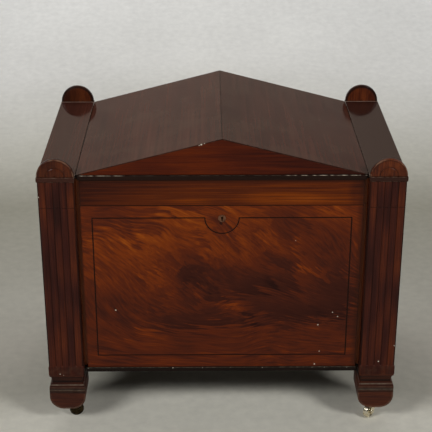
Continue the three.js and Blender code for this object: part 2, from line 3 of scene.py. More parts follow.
import bmesh
import bpy
import numpy as np
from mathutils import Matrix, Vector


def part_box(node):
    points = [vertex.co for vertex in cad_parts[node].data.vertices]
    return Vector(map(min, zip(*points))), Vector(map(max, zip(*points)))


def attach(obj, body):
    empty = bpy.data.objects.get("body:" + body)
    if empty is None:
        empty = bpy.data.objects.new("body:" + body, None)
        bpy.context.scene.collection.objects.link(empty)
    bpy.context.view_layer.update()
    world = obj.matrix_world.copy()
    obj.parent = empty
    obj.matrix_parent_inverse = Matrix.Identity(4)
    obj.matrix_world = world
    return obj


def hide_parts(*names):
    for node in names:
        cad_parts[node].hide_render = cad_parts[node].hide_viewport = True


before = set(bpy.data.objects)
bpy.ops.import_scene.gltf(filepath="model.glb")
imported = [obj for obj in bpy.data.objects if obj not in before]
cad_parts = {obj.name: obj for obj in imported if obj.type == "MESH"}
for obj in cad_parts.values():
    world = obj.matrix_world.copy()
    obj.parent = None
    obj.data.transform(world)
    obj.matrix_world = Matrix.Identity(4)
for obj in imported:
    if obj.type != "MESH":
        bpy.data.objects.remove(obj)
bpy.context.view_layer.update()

# Mahogany cellarette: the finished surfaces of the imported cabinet. Lengths in this file are
# millimetres; MM turns them to metres where they meet a mesh, a light or the camera.
MM = 0.001

# Measures


def corners(node_name):
    """Lowest and highest corner of a CAD piece in millimetres."""
    low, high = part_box(node_name)
    return np.array(low) / MM, np.array(high) / MM


def ease(value, start, end):
    """Smooth step from nought at start to one at end."""
    share = np.clip((value - start) / (end - start), 0, 1)
    return share * share * (3 - 2 * share)


BOARD_LOW, BOARD_HIGH = corners("front_board")
BEAD_LOW, BEAD_HIGH = corners("base_board")
CAP_LOW, CAP_HIGH = corners("cap_right")
FRONT_FACE = BOARD_LOW[1]             # front board, lid front board and gable share it
FRONT_END = BOARD_HIGH[0] + 1.5       # in the groove beside each post
CASE_LID_JOINT = (BOARD_HIGH[2] + corners("lid_front_board")[0][2]) / 2
REED_COUNT = 5
REED_MARGIN = 1.9                     # flat at each side of a post's face
POST_LOW, POST_HIGH = corners("post_front_right")
REED_PITCH = (POST_HIGH[0] - POST_LOW[0] - 2 * REED_MARGIN) / REED_COUNT

# Colour and nodes


def linear(hex_colour):
    """The sRGB curve undone for each channel of a hex colour."""
    channels = np.array([int(hex_colour[i:i + 2], 16) for i in (1, 3, 5)]) / 255
    curve = np.where(channels <= 0.04045, channels / 12.92, ((channels + 0.055) / 1.055) ** 2.4)
    return (*curve.tolist(), 1.0)


def plug(tree, made, inputs):
    """Fills a node's inputs, keyed by name or number, with a value, a socket or a node."""
    for key, value in inputs.items():
        open_sockets = [socket for socket in made.inputs if socket.enabled]
        if isinstance(key, int):
            socket = open_sockets[key]
        else:
            socket = next(socket for socket in open_sockets if socket.name == key)
        if isinstance(value, bpy.types.Node):
            value = next(output for output in value.outputs if output.enabled)
        if isinstance(value, bpy.types.NodeSocket):
            tree.links.new(value, socket)
        else:
            socket.default_value = value


def node(tree, kind, inputs=None, stops=None, **settings):
    """Adds a node with its settings, its inputs and, on a colour ramp, its stops."""
    made = tree.nodes.new("ShaderNode" + kind)
    for key, value in settings.items():
        setattr(made, key, value)
    plug(tree, made, inputs or {})
    if stops:
        elements = made.color_ramp.elements
        while len(elements) < len(stops):
            elements.new(1.0)
        for element, (place, colour) in zip(elements, stops):
            element.position = place
            element.color = linear(colour)
    return made


def new_material(name, **constants):
    """A material with its shader's constant sockets set; returns it, its tree and its shader."""
    material = bpy.data.materials.new(name)
    material.use_nodes = True
    tree = material.node_tree
    shader = tree.nodes["Principled BSDF"]
    for socket, value in constants.items():
        shader.inputs[socket.replace("_", " ")].default_value = value
    return material, tree, shader


def object_mm(tree):
    """Object coordinates in millimetres."""
    place = node(tree, "TexCoord").outputs["Object"]
    return node(tree, "VectorMath", {0: place, 1: (1 / MM,) * 3}, operation="MULTIPLY")


def coated(tree, colour, coats):
    """Lays the hex colour of each coat in turn over a colour, where the coat's mask is one."""
    for mask, hex_colour in coats:
        colour = node(tree, "Mix", {"Factor": mask, "A": colour, "B": linear(hex_colour)},
                      data_type="RGBA")
    return colour


NOISE_LOW, NOISE_HIGH = 0.3, 0.7      # a noise keeps mostly between these
CHIP_TEARS_PER_MM = 0.9
CHIP_RIM = (0.9, 0.2)         # how far past its radius a torn chip ends, and is still whole


def chip_mask(tree, place, chips):
    """One near each chip and nought elsewhere: the greatest of a soft ball about each."""
    ragged = node(tree, "TexNoise", {"Vector": place, "Scale": CHIP_TEARS_PER_MM, "Detail": 1.0})
    total = 0.0
    for x, y, z, radius in chips:
        away = node(tree, "VectorMath", {0: place, 1: (x, y, z)}, operation="DISTANCE")
        rough = node(tree, "Math", {0: away.outputs["Value"], 1: ragged}, operation="ADD")
        ball = node(tree, "MapRange", {"Value": rough, "From Min": radius + CHIP_RIM[0],
                                       "From Max": radius + CHIP_RIM[1]})
        total = node(tree, "Math", {0: ball, 1: total}, operation="MAXIMUM")
    return total


def line_mask(tree, place, lines, least=0.0):
    """The strength of each line on it, and the least strength away from all lines.

    A line is an axis, its distance from the middle of the case, half its width, the width
    over which it fades and its strength. It lies on both sides of the middle unless its axis
    is marked +.
    """
    parts = node(tree, "SeparateXYZ", {0: place})
    total = least
    for axis, middle, half, soft, strength in lines:
        off = parts.outputs[axis[-1]]
        if axis[0] != "+":
            off = node(tree, "Math", {0: off}, operation="ABSOLUTE")
        off = node(tree, "Math", {0: off, 1: middle}, operation="SUBTRACT")
        off = node(tree, "Math", {0: off}, operation="ABSOLUTE")
        mask = node(tree, "MapRange", {"Value": off, "From Min": half + soft,
                                       "From Max": half, "To Max": strength})
        total = node(tree, "Math", {0: mask, 1: total}, operation="MAXIMUM")
    return total


ENDLESS = 1e6                 # a zone's half depth: it goes right through the board
SOFT_RIM = (1.0, 0.3)
TORN_RIM = (1.1, 0.8)


def shaded(tree, tone, place, zones, rim):
    """Adds each zone's shade to a tone, within a turned ellipse in x and z.

    The shade starts at the rim's first share of the ellipse's radius and is whole at the
    second.
    """
    for x, z, wide, high, turn, shade in zones:
        inside = node(tree, "Mapping", {
            "Vector": place, "Location": (x, 0, z),
            "Rotation": (0, math.radians(turn), 0), "Scale": (wide, ENDLESS, high)},
            vector_type="TEXTURE")
        reach = node(tree, "VectorMath", {0: inside}, operation="LENGTH").outputs["Value"]
        zone = node(tree, "MapRange", {"Value": reach, "From Min": rim[0], "From Max": rim[1],
                                       "To Max": shade}, interpolation_type="SMOOTHSTEP")
        tone = node(tree, "Math", {0: zone, 1: tone}, operation="ADD")
    return tone


# Wear, dirt and painted shade of the woods

# Dark colours of dirt and joints, also laid as painted shade beside the posts, under the band
# and the keyhole plate, and in grooves, cut lines and necks
BROWN_SOIL_AND_SHADE = "#2a150d"
DEEP_SOIL_AND_SHADE = "#190d0a"
BARE_GROUND = "#d8cdbb"       # pale ground where the polish has chipped away

# Lines: axis, distance from the middle, half width, soft edge and strength
JOINT = ("Z", CASE_LID_JOINT, 0.5, 1.1, 0.9)     # between case and lid
POST_JOINT = ("Z", CASE_LID_JOINT, 0.2, 0.8, 0.7)
# Painted shade on the top of the frieze, under the overhanging band
SHADE_UNDER_BAND = ("Z", corners("lid_front_board")[1][2], 0.5, 7.0, 0.7)
RIGHT_POST_SHADE = ("+X", FRONT_END, 0.5, 14.0, 0.8)    # painted shade beside the right post
# Painted shade beside the left post, narrower and fainter
LEFT_POST_SHADE = ("+X", -FRONT_END, 0.5, 3.0, 0.4)
RIDGE = ("X", 0, 0.7, 0.6, 0.8)
ROOF_END = ("Y", 1 - FRONT_FACE, 1.2, 0.3, 1.0)  # edge of the roof's veneer over a gable
EAVE = ("X", CAP_LOW[0] - 0.5, 1.0, 0.6, 0.8)
CAP_INNER_EDGE = ("X", CAP_LOW[0], 0.4, 0.4, 0.8)
CAP_FRONT_EDGE = ("Y", CAP_HIGH[1], 0.3, 1.0, 0.4)
DISC_BACK = corners("half_disc_rear_left")[0][1]
CAP_PALE_LINE = ("Y", DISC_BACK - 1.4, 0.9, 0.6, 0.9)    # a pale line on the caps, behind the half-discs
PAINTED_LIGHT_EDGE = ("+Y", corners("end_board_left")[0][1], 0.5, 0.5, 0.9)   # painted pale: painted light that lifts the shade on the end boards' front edge
BAND_RUBS = (("+X", -239.5, 39.5, 8, 1.0), ("+X", 204.5, 74.5, 8, 1.0))  # fully pale stretches: rubbed bare, with a painted highlight

# Chips through the polish that show the pale ground, and spots of painted shade laid the same
# way: x, y, z and radius
FRONT_CHIPS = [(x, FRONT_FACE, z, radius) for x, z, radius in (
    (-217, 269, 1.3), (227, 262, 1.0), (238, 252, 0.9), (198, 233, 1.2), (203, 170, 1.1),
    (194, 139, 1.35), (147, 425, 0.6))]
RAKE_CHIPS = [(x, FRONT_FACE, z, radius) for x, z, radius in (
    (-40, 630, 1.7), (-34, 632, 0.8), (-44, 628.6, 0.9))]
BEAD_CHIPS = [(x, BEAD_LOW[1] - 1, BEAD_HIGH[2] - 1, radius) for x, radius in (
    (-279, 1.0), (-102, 1.45), (-40, 1.1), (18, 0.9), (85, 1.2), (122, 0.9), (158, 0.8),
    (189, 1.0), (215, 1.1), (262, 1.0))]
POST_CHIPS = (
    (-337, -233, 124, 0.85), (-330, -233, 121, 0.5), (326, -232.8, 152, 1.25),
    (357, -232, 189, 1.0), (-358, -231, 525, 1.1), (-308, -231, 236, 0.9),
)
PLATE_SHADOW = ((-2, FRONT_FACE, 463.5, 3.2),)      # painted shadow just under the keyhole plate
# Painted shade: the keyhole drawn black on the plate, where the hole lies in shade
KEYHOLE_SHADE = ((0, -222, 475.4, 2.3), (0, -222, 472.5, 1.2))

# Woods

# A pore is a third as wide in the wood; it is drawn as coarse as it needs to show
PORE_WIDTH, PORE_LENGTH = 0.9, 16.0
PORE_STEP = (0.58, 0.72)      # where in its noise a pore starts and is whole
CLOUD_WIDTHS, CLOUD_LENGTHS = 14, 2.2            # of a cloud over a streak
CLOUD_SHARE = 0.42
REED_BATCH = 260.0            # length over which a reed keeps its own tone
REED_TONES = 1.9              # how much the tone differs from one reed to the next
REED_SEED = 3.7
BLOOM_PATCH = 65.0
BLOOM_STEP = (0.42, 0.68)
BLOOM_MOST = 0.32
WEAR_PATCHES_PER_MM = 0.09
WEAR_STEP = (0.42, 0.62)
ARRIS_FADE = 0.1
DULLER, GLOSSIER = 0.07, 0.05         # spread of a finish's roughness about its own
RUBBED_ROUGH = 0.65
UNRUBBED = 0.12               # share of the wear between the rubbed stretches of an arris
RIPPLE_LENGTH = 55.0          # of the polish, as it follows the ground
RIPPLE_LIFT = 3.0             # height of the ripple over the grain's relief
GRAIN_STAND = 0.35            # how far streaks stand and pores sink, as shares of the relief
WOOD_RELIEF = 0.12


def polished_wood(name, grain, along, streak=2.4, length=150.0, rough=0.34, shine=0.2,
                  worn="#8d6f58", rubbing_and_highlight=0.6, flat=0.985, carved=False, reed=None, chips=(),
                  pore=0.45, soil_and_shade_lines=(), fade=None, rubs=(), bloom=None, patchy=1.0,
                  top_highlight=False, relief=0.35, pale=(), pale_colour="#b49c8c", zones=()):
    """Streaks drawn out along one axis over broad clouds, with pores, worn arrises and bump.

    The streak is a noise whose cell is streak wide and length long. An arris is where the
    normal leans away from every axis. Carved pieces carry their own rubbing and darkening, the
    darkening partly painted shade in their hollows. reed is where the first reed starts, their
    pitch and how far their tones spread. fade leans the tone along an axis, rubs gives the lines
    where an arris is bare, bloom is the colour of old polish clouding over, patchy is how broken
    the rubbing is, and the flag for the top keeps the rubbing to the arrises that face up, where
    it is a painted highlight as well. relief is how far the grain stands, pale gives lines in
    their own pale colour as the dark lines do in brown, and the dark lines hold joints and
    painted shade. zones lighten or darken the tone in soft ellipses, as the figure of a plain
    veneer does; on the frieze some paint the shade under the band and beside the right post.
    """
    material, tree, shader = new_material(name, Specular_IOR_Level=shine)
    place = object_mm(tree)
    spot = node(tree, "SeparateXYZ", {0: place}).outputs

    def drawn(across, down, **noise):
        cell = [1 / across] * 3
        cell["XYZ".index(along)] = 1 / down
        laid = node(tree, "VectorMath", {0: place, 1: tuple(cell)}, operation="MULTIPLY")
        return node(tree, "TexNoise", {"Vector": laid, "Scale": 1.0, **noise})

    streaks = drawn(streak, length, Detail=5.0, Roughness=0.62, Distortion=0.2)
    clouds = drawn(streak * CLOUD_WIDTHS, length * CLOUD_LENGTHS, Detail=2.0)
    pores = node(tree, "MapRange", {"Value": drawn(PORE_WIDTH, PORE_LENGTH, Detail=1.0),
                                    "From Min": PORE_STEP[0], "From Max": PORE_STEP[1]})
    tone = node(tree, "Mix", {"Factor": CLOUD_SHARE, "A": streaks, "B": clouds})
    if reed:
        start, pitch, spread = reed
        counted = node(tree, "Math", {0: spot["X"], 1: 1 / pitch, 2: -start / pitch},
                       operation="MULTIPLY_ADD")
        whole = node(tree, "Math", {0: counted}, operation="FLOOR")
        slow = node(tree, "Math", {0: spot["Z"], 1: 1 / REED_BATCH}, operation="MULTIPLY")
        pair = node(tree, "CombineXYZ", {"X": whole, "Y": slow, "Z": REED_SEED})
        own = node(tree, "TexNoise", {"Vector": pair, "Scale": REED_TONES, "Detail": 1.0})
        lean = node(tree, "MapRange", {"Value": own, "From Min": NOISE_LOW,
                                       "From Max": NOISE_HIGH, "To Min": -spread,
                                       "To Max": spread})
        tone = node(tree, "Math", {0: tone, 1: lean}, operation="ADD")
    if fade:
        axis, start, end, most = fade
        leant = node(tree, "MapRange", {"Value": spot[axis], "From Min": start,
                                        "From Max": end, "To Max": most})
        tone = node(tree, "Math", {0: tone, 1: leant}, operation="ADD")
    tone = shaded(tree, tone, place, zones, SOFT_RIM)
    colour = node(tree, "ValToRGB", {"Fac": tone}, stops=grain)
    deep = node(tree, "Math", {0: pores, 1: pore}, operation="MULTIPLY")
    coats = [(deep, grain[0][1])]
    if bloom:
        clouded = node(tree, "TexNoise", {"Vector": place, "Scale": 1 / BLOOM_PATCH,
                                          "Detail": 3.0})
        clouded = node(tree, "MapRange", {"Value": clouded, "From Min": BLOOM_STEP[0],
                                          "From Max": BLOOM_STEP[1], "To Max": BLOOM_MOST})
        coats.append((clouded, bloom))

    patches = node(tree, "TexNoise", {"Vector": place, "Scale": WEAR_PATCHES_PER_MM,
                                      "Detail": 4.0})
    patches = node(tree, "MapRange", {"Value": patches, "From Min": WEAR_STEP[0],
                                      "From Max": WEAR_STEP[1], "To Min": 1 - patchy})
    if carved:
        # Carved pieces bring their own rubbing and darkening: the darkening is dirt together
        # with painted shade in their hollows, and the feet's shoulders carry a painted highlight
        edge = node(tree, "Attribute", attribute_name="rubbing_and_highlight").outputs["Fac"]
        soil_and_shade = node(tree, "Attribute", attribute_name="soil_and_shade").outputs["Fac"]
        coats.append((soil_and_shade, DEEP_SOIL_AND_SHADE))
    else:
        facing = node(tree, "TexCoord").outputs["Normal"]
        leaning = node(tree, "VectorMath", {0: facing}, operation="ABSOLUTE")
        x, y, z = node(tree, "SeparateXYZ", {0: leaning}).outputs
        widest = node(tree, "Math", {0: x, 1: y}, operation="MAXIMUM")
        widest = node(tree, "Math", {0: widest, 1: z}, operation="MAXIMUM")
        edge = node(tree, "MapRange", {"Value": widest, "From Min": flat,
                                       "From Max": flat - ARRIS_FADE})
        # Kept to the arrises that face up, the pale colour is a painted highlight as well as
        # rubbing
        if top_highlight:
            rise = node(tree, "SeparateXYZ", {0: facing}).outputs["Z"]
            rise = node(tree, "MapRange", {"Value": rise, "From Max": ARRIS_FADE})
            edge = node(tree, "Math", {0: edge, 1: rise}, operation="MULTIPLY")
    rubbed = node(tree, "Math", {0: edge, 1: patches}, operation="MULTIPLY")
    rubbed = node(tree, "Math", {0: rubbed, 1: rubbing_and_highlight}, operation="MULTIPLY")
    if rubs:
        run = line_mask(tree, place, rubs, UNRUBBED)
        rubbed = node(tree, "Math", {0: rubbed, 1: run}, operation="MULTIPLY")
    coats.append((rubbed, worn))
    # Dark lines: joints, with painted shade under the band and beside the posts; pale lines,
    # among them painted light on the end boards' front edges
    coats += [(line_mask(tree, place, lines), laid)
              for lines, laid in ((soil_and_shade_lines, BROWN_SOIL_AND_SHADE), (pale, pale_colour)) if lines]
    if chips:
        bare = chip_mask(tree, place, chips)
        coats.append((bare, BARE_GROUND))
        rubbed = node(tree, "Math", {0: rubbed, 1: bare}, operation="MAXIMUM")

    dulled = node(tree, "MapRange", {
        "Value": clouds, "From Min": NOISE_LOW, "From Max": NOISE_HIGH,
        "To Min": rough - GLOSSIER, "To Max": rough + DULLER})
    dulled = node(tree, "Mix", {"Factor": rubbed, "A": dulled, "B": RUBBED_ROUGH})
    ripple = node(tree, "TexNoise", {"Vector": place, "Scale": 1 / RIPPLE_LENGTH,
                                     "Detail": 1.0})
    lifted = node(tree, "Math", {0: ripple, 1: RIPPLE_LIFT}, operation="MULTIPLY")
    height = node(tree, "Math", {0: pores, 1: -GRAIN_STAND, 2: lifted},
                  operation="MULTIPLY_ADD")
    height = node(tree, "Math", {0: streaks, 1: GRAIN_STAND, 2: height},
                  operation="MULTIPLY_ADD")
    bump = node(tree, "Bump", {"Height": height, "Strength": relief,
                               "Distance": WOOD_RELIEF * MM})
    plug(tree, shader, {"Base Color": coated(tree, colour, coats), "Roughness": dulled,
                        "Normal": bump})
    return material


# Zones of the plain veneer above the joint: x, z, half width, half height, turn and shade
FRIEZE_ZONES = (
    # The long dark zone along the top is painted shade under the band; the dark one at the right
    # end is painted shade beside the post
    (125, 517, 130, 20, 0, 0.17), (-65, 509, 60, 12, 0, 0.06), (90, 556, 270, 16, 0, -0.1),
    (268, 530, 26, 40, 0, -0.12),
)
# Zones of the flame figure on the front board: x, z, half width, half height, turn and shade
FLAME_ZONES = (
    (10, 340, 105, 32, 5, -0.17), (155, 296, 130, 54, 4, -0.13), (-40, 247, 112, 20, -4, -0.16),
    (130, 252, 90, 26, -3, -0.10), (228, 298, 50, 60, 0, -0.10), (228, 405, 60, 72, 0, -0.10),
    (140, 456, 46, 30, 30, -0.11), (-66, 376, 40, 26, 20, -0.09), (-215, 272, 80, 40, 10, -0.05),
    (46, 245, 30, 12, -22, -0.13), (-130, 292, 10, 42, 30, -0.05), (128, 374, 40, 14, 30, -0.14),
    (-60, 320, 26, 44, 30, -0.10), (-225, 460, 50, 34, 0, -0.06), (-20, 300, 30, 12, 10, -0.13),
    (-175, 405, 105, 48, 18, 0.10), (-70, 472, 62, 22, 15, 0.19), (-110, 438, 70, 28, 15, 0.07),
    (-105, 316, 18, 34, 40, 0.05), (26, 282, 30, 16, -10, 0.09), (42, 405, 30, 24, 50, 0.06),
    (96, 425, 52, 10, 38, 0.10), (-150, 197, 46, 24, 0, 0.10), (182, 354, 46, 9, 10, 0.12),
    (-22, 280, 12, 9, 0, 0.04), (88, 226, 44, 6, -30, 0.05), (112, 350, 60, 30, 45, -0.09),
    (266, 338, 60, 30, 45, -0.09), (0, 290, 50, 18, -25, -0.09), (224, 482, 60, 30, 45, 0.07),
    (266, 242, 60, 30, 45, -0.07), (56, 482, 50, 18, 25, 0.09), (-252, 362, 60, 30, 45, 0.06),
    (-84, 338, 18, 30, 0, -0.08), (196, 302, 60, 30, 25, 0.05), (0, 446, 50, 18, 45, -0.06),
    (-28, 326, 24, 14, -25, -0.07), (0, 140, 320, 22, 0, 0.03), (-149, 458, 44, 18, 20, -0.07),
    (-112, 374, 20, 26, 30, -0.1), (-137, 340, 24, 30, 40, 0.1), (-165, 415, 22, 24, 30, 0.1),
    (-13, 417, 30, 24, 50, 0.11), (29, 463, 26, 20, 50, 0.1), (-4, 466, 14, 14, 0, -0.06),
    (139, 401, 24, 26, 40, -0.08), (29, 260, 24, 18, -20, 0.1), (222, 488, 28, 12, 20, 0.11),
    (-8, 490, 40, 12, 5, 0.09),
)
# The lie of the grain: x, z and how steeply it falls to the right, in degrees
GRAIN_FALL = (
    (-250, 488, 2), (-140, 484, 5), (-60, 484, 12), (60, 486, 6), (160, 484, 10), (240, 484, 24),
    (-240, 440, 22), (-190, 440, 20), (-140, 440, 28), (-90, 440, 28), (-40, 440, 44),
    (20, 440, 52), (60, 440, 44), (110, 440, 40), (160, 440, 46), (215, 440, 46),
    (-240, 390, 34), (-190, 395, 37), (-140, 395, 37), (-90, 395, 34), (-40, 400, 50),
    (10, 395, 60), (60, 395, 44), (110, 395, 40), (160, 395, 44), (215, 395, 52),
    (250, 400, 60), (-240, 345, 46), (-190, 345, 44), (-140, 345, 34), (-90, 345, 42),
    (-40, 345, 34), (10, 345, 44), (60, 345, 40), (110, 345, 30), (160, 340, 30),
    (230, 345, 20), (-240, 295, 58), (-190, 295, 54), (-140, 295, 48), (-90, 295, 40),
    (-40, 290, 24), (10, 290, -20), (60, 300, 14), (110, 295, 24), (160, 290, 28),
    (230, 290, 30), (-240, 255, 52), (-190, 255, 44), (-140, 255, 32), (-90, 255, 12),
    (-40, 255, 10), (10, 255, -30), (60, 255, -14), (110, 260, -18), (160, 255, 18),
    (230, 255, 0), (-190, 220, 18), (-140, 220, 8), (-90, 215, 0), (-40, 215, 12),
    (10, 220, -8), (60, 220, -24), (110, 215, 0), (160, 215, 8), (220, 215, -3),
    (-200, 165, 2), (0, 165, 0), (200, 165, 0),
)
GRAIN_REACH = 26.0            # over which each place's fall is felt
GRAIN_STEP = 6.0              # lattice on which the grain's coordinates are worked out
GRAIN_SLACK = 0.06            # how lightly the strokes' width is held beside their direction
GRAIN_ROUNDS = 700


def grain_lattice(x, z):
    """Coordinates across and along the grain, in millimetres, on a lattice of x and z.

    The fall is a weighted mean of the places above. Each coordinate f makes least the sum
    over the cells of (side . slope of f)^2 + slack (way . slope of f - 1)^2, where way is the
    direction in which f should grow and side is square to it; solved by conjugate gradients.
    """
    grid_x, grid_z = np.meshgrid((x[1:] + x[:-1]) / 2, (z[1:] + z[:-1]) / 2)
    places = np.array(GRAIN_FALL, float)
    apart = ((grid_x[..., None] - places[:, 0]) ** 2 + (grid_z[..., None] - places[:, 1]) ** 2)
    weight = np.exp(-apart / (2 * GRAIN_REACH ** 2)) + 1e-9
    fall = np.radians((weight * places[:, 2]).sum(-1) / weight.sum(-1))
    half = 0.5 / (x[1] - x[0])

    def slope(f):
        rise = (f[1:, 1:] - f[:-1, :-1]) * half
        turn = (f[:-1, 1:] - f[1:, :-1]) * half
        return rise + turn, rise - turn

    def gather(pull_x, pull_z):
        total = np.zeros((z.size, x.size))
        total[1:, 1:] += pull_x + pull_z
        total[:-1, :-1] -= pull_x + pull_z
        total[:-1, 1:] += pull_x - pull_z
        total[1:, :-1] -= pull_x - pull_z
        return total * half

    solved = []
    for way_x, way_z in ((np.sin(fall), np.cos(fall)), (np.cos(fall), -np.sin(fall))):
        found = np.zeros((z.size, x.size))
        left = gather(GRAIN_SLACK * way_x, GRAIN_SLACK * way_z)
        search, size = left.copy(), (left ** 2).sum()
        for _ in range(GRAIN_ROUNDS):
            slope_x, slope_z = slope(search)
            along = (slope_x * way_x + slope_z * way_z) * GRAIN_SLACK
            aside = slope_x * way_z - slope_z * way_x
            pulled = gather(along * way_x + aside * way_z, along * way_z - aside * way_x)
            stride = size / (search * pulled).sum()
            found += stride * search
            left -= stride * pulled
            size, before = (left ** 2).sum(), size
            search = left + search * size / before
        solved.append(found)
    return solved


# Grain, fibre and plume of the flame figure: width, length, noise detail and weight
FLAME_PATTERNS = ((3.6, 42.0, 2.0, 0.62), (1.6, 24.0, 1.0, 0.24), (13.0, 60.0, 3.0, 0.52))
FLAME_BEND = 16.0             # how far slow noise carries the grain aside
FLAME_BEND_LENGTH = 70.0
FLAME_TEAR = (120.0, 0.0, -95.0)      # how far a zone's rim is torn, along the fall
TEAR_BY_GRAIN = 0.6
TEAR_START = -0.8
FLAME_RISE = (225.0, 400.0)   # the board's ground tone grows between these levels
FLAME_TONES = (0.37, 0.465)
LIVELY_TONES = (0.18, 0.42)   # between these tones the grain's contrast grows as below
LIVELY_SHARES = (0.64, 0.92)
FLAME_STOPS = ((0.0, "#2a120e"), (0.25, "#431e14"), (0.45, "#5e2712"), (0.62, "#7a3510"),
               (0.8, "#974912"), (1.0, "#b86b2a"))
PLATE_SHADOW_SHARE = 0.88
FLAME_ROUGH = (0.30, 0.42)
GRAIN_OVER_FIBRE = 0.6        # height of the grain's streaks over the fibre's
FLAME_RELIEF = 0.1


def flame_veneer(name):
    """Crotch veneer: fine grain laid by the board's own map, over soft dark and bright zones.

    The map's two numbers run across and along the grain. Each zone is an ellipse whose rim
    is torn along the grain by noise, and the pattern bends a little more by slow noise.
    """
    material, tree, shader = new_material(name, Specular_IOR_Level=0.08)
    place = object_mm(tree)
    laid = node(tree, "UVMap", uv_map="grain")
    laid = node(tree, "VectorMath", {0: laid, 1: (1 / MM,) * 3}, operation="MULTIPLY")
    slow = node(tree, "TexNoise", {"Vector": place, "Scale": 1 / FLAME_BEND_LENGTH,
                                   "Detail": 0.0})
    bend = node(tree, "VectorMath", {0: slow.outputs["Color"], 1: (0.5, 0.5, 0.5)},
                operation="SUBTRACT")
    bend = node(tree, "VectorMath", {0: bend, 1: (FLAME_BEND, 0.0, 0.0)},
                operation="MULTIPLY")
    laid = node(tree, "VectorMath", {0: laid, 1: bend}, operation="ADD")
    figures = []
    for width, length, detail, _ in FLAME_PATTERNS:
        cell = node(tree, "VectorMath", {0: laid, 1: (1 / width, 1 / length, 0.0)},
                    operation="MULTIPLY")
        figures.append(node(tree, "TexNoise", {"Vector": cell, "Scale": 1.0,
                                               "Detail": detail, "Roughness": 0.62}))
    grain, fibre, plume = figures

    tear = node(tree, "Math", {0: plume, 1: TEAR_START}, operation="ADD")
    tear = node(tree, "Math", {0: grain, 1: TEAR_BY_GRAIN, 2: tear},
                operation="MULTIPLY_ADD")
    torn = node(tree, "VectorMath", {0: FLAME_TEAR, "Scale": tear}, operation="SCALE")
    torn = node(tree, "VectorMath", {0: place, 1: torn}, operation="ADD")
    level = node(tree, "SeparateXYZ", {0: place}).outputs["Z"]
    tone = node(tree, "MapRange", {"Value": level,
                                   "From Min": FLAME_RISE[0], "From Max": FLAME_RISE[1],
                                   "To Min": FLAME_TONES[0], "To Max": FLAME_TONES[1]},
                interpolation_type="SMOOTHSTEP")
    tone = shaded(tree, tone, torn, FLAME_ZONES, TORN_RIM)
    lively = node(tree, "MapRange", {
        "Value": tone, "From Min": LIVELY_TONES[0], "From Max": LIVELY_TONES[1],
        "To Min": LIVELY_SHARES[0], "To Max": LIVELY_SHARES[1]})
    for figure, (_, _, _, weight) in zip(figures, FLAME_PATTERNS):
        centred = node(tree, "Math", {0: figure, 1: -0.5}, operation="ADD")
        centred = node(tree, "Math", {0: centred, 1: lively}, operation="MULTIPLY")
        tone = node(tree, "Math", {0: centred, 1: weight, 2: tone}, operation="MULTIPLY_ADD")
    colour = node(tree, "ValToRGB", {"Fac": tone}, stops=FLAME_STOPS)
    # Painted shadow under the keyhole plate; the dark lines are the joint and painted shade
    # beside the posts
    stain = node(tree, "Math", {0: chip_mask(tree, place, PLATE_SHADOW), 1: PLATE_SHADOW_SHARE},
                 operation="MULTIPLY")
    colour = coated(tree, colour, (
        (chip_mask(tree, place, FRONT_CHIPS), BARE_GROUND), (stain, BROWN_SOIL_AND_SHADE),
        (line_mask(tree, place, (JOINT, LEFT_POST_SHADE, RIGHT_POST_SHADE)), BROWN_SOIL_AND_SHADE)))
    dulled = node(tree, "MapRange", {
        "Value": slow, "From Min": NOISE_LOW, "From Max": NOISE_HIGH,
        "To Min": FLAME_ROUGH[0], "To Max": FLAME_ROUGH[1]})
    height = node(tree, "Math", {0: grain, 1: GRAIN_OVER_FIBRE, 2: fibre},
                  operation="MULTIPLY_ADD")
    bump = node(tree, "Bump", {"Height": height, "Strength": 0.18,
                               "Distance": FLAME_RELIEF * MM})
    plug(tree, shader, {"Base Color": colour, "Roughness": dulled, "Normal": bump})
    return material


# Metals, baize and paper

HOLE_SHADE = "#120c09"
PATINA_GRAIN = 6.0
SCRATCHES_PER_MM = 2.2
SCRATCH_RELIEF = 0.05


def metal(name, colours, rough, spread=0.1, dark_marks=()):
    """Two colours mixed by a fine noise, the gloss varied by the same, black where painted shade
    marks a hole.
    """
    material, tree, shader = new_material(name, Metallic=1.0)
    place = object_mm(tree)
    fine = node(tree, "TexNoise", {"Vector": place, "Scale": 1 / PATINA_GRAIN,
                                   "Detail": 5.0})
    patina = node(tree, "MapRange", {"Value": fine, "From Min": 0.35, "From Max": 0.68})
    colour = coated(tree, linear(colours[0]), [(patina, colours[1])])
    # The keyhole's painted shade, drawn black
    if dark_marks:
        colour = coated(tree, colour, [(chip_mask(tree, place, dark_marks), HOLE_SHADE)])
    gloss = node(tree, "MapRange", {
        "Value": fine, "From Min": NOISE_LOW, "From Max": NOISE_HIGH,
        "To Min": rough - spread, "To Max": rough + spread})
    scratch = node(tree, "TexNoise", {"Vector": place, "Scale": SCRATCHES_PER_MM,
                                      "Detail": 2.0})
    bump = node(tree, "Bump", {"Height": scratch, "Strength": 0.12,
                               "Distance": SCRATCH_RELIEF * MM})
    plug(tree, shader, {"Base Color": colour, "Roughness": gloss, "Normal": bump})
    return material


SPANGLE = 14.0                # across one crystal of the zinc
ZINC_STAIN = 60.0
ZINC_RELIEF = 0.4


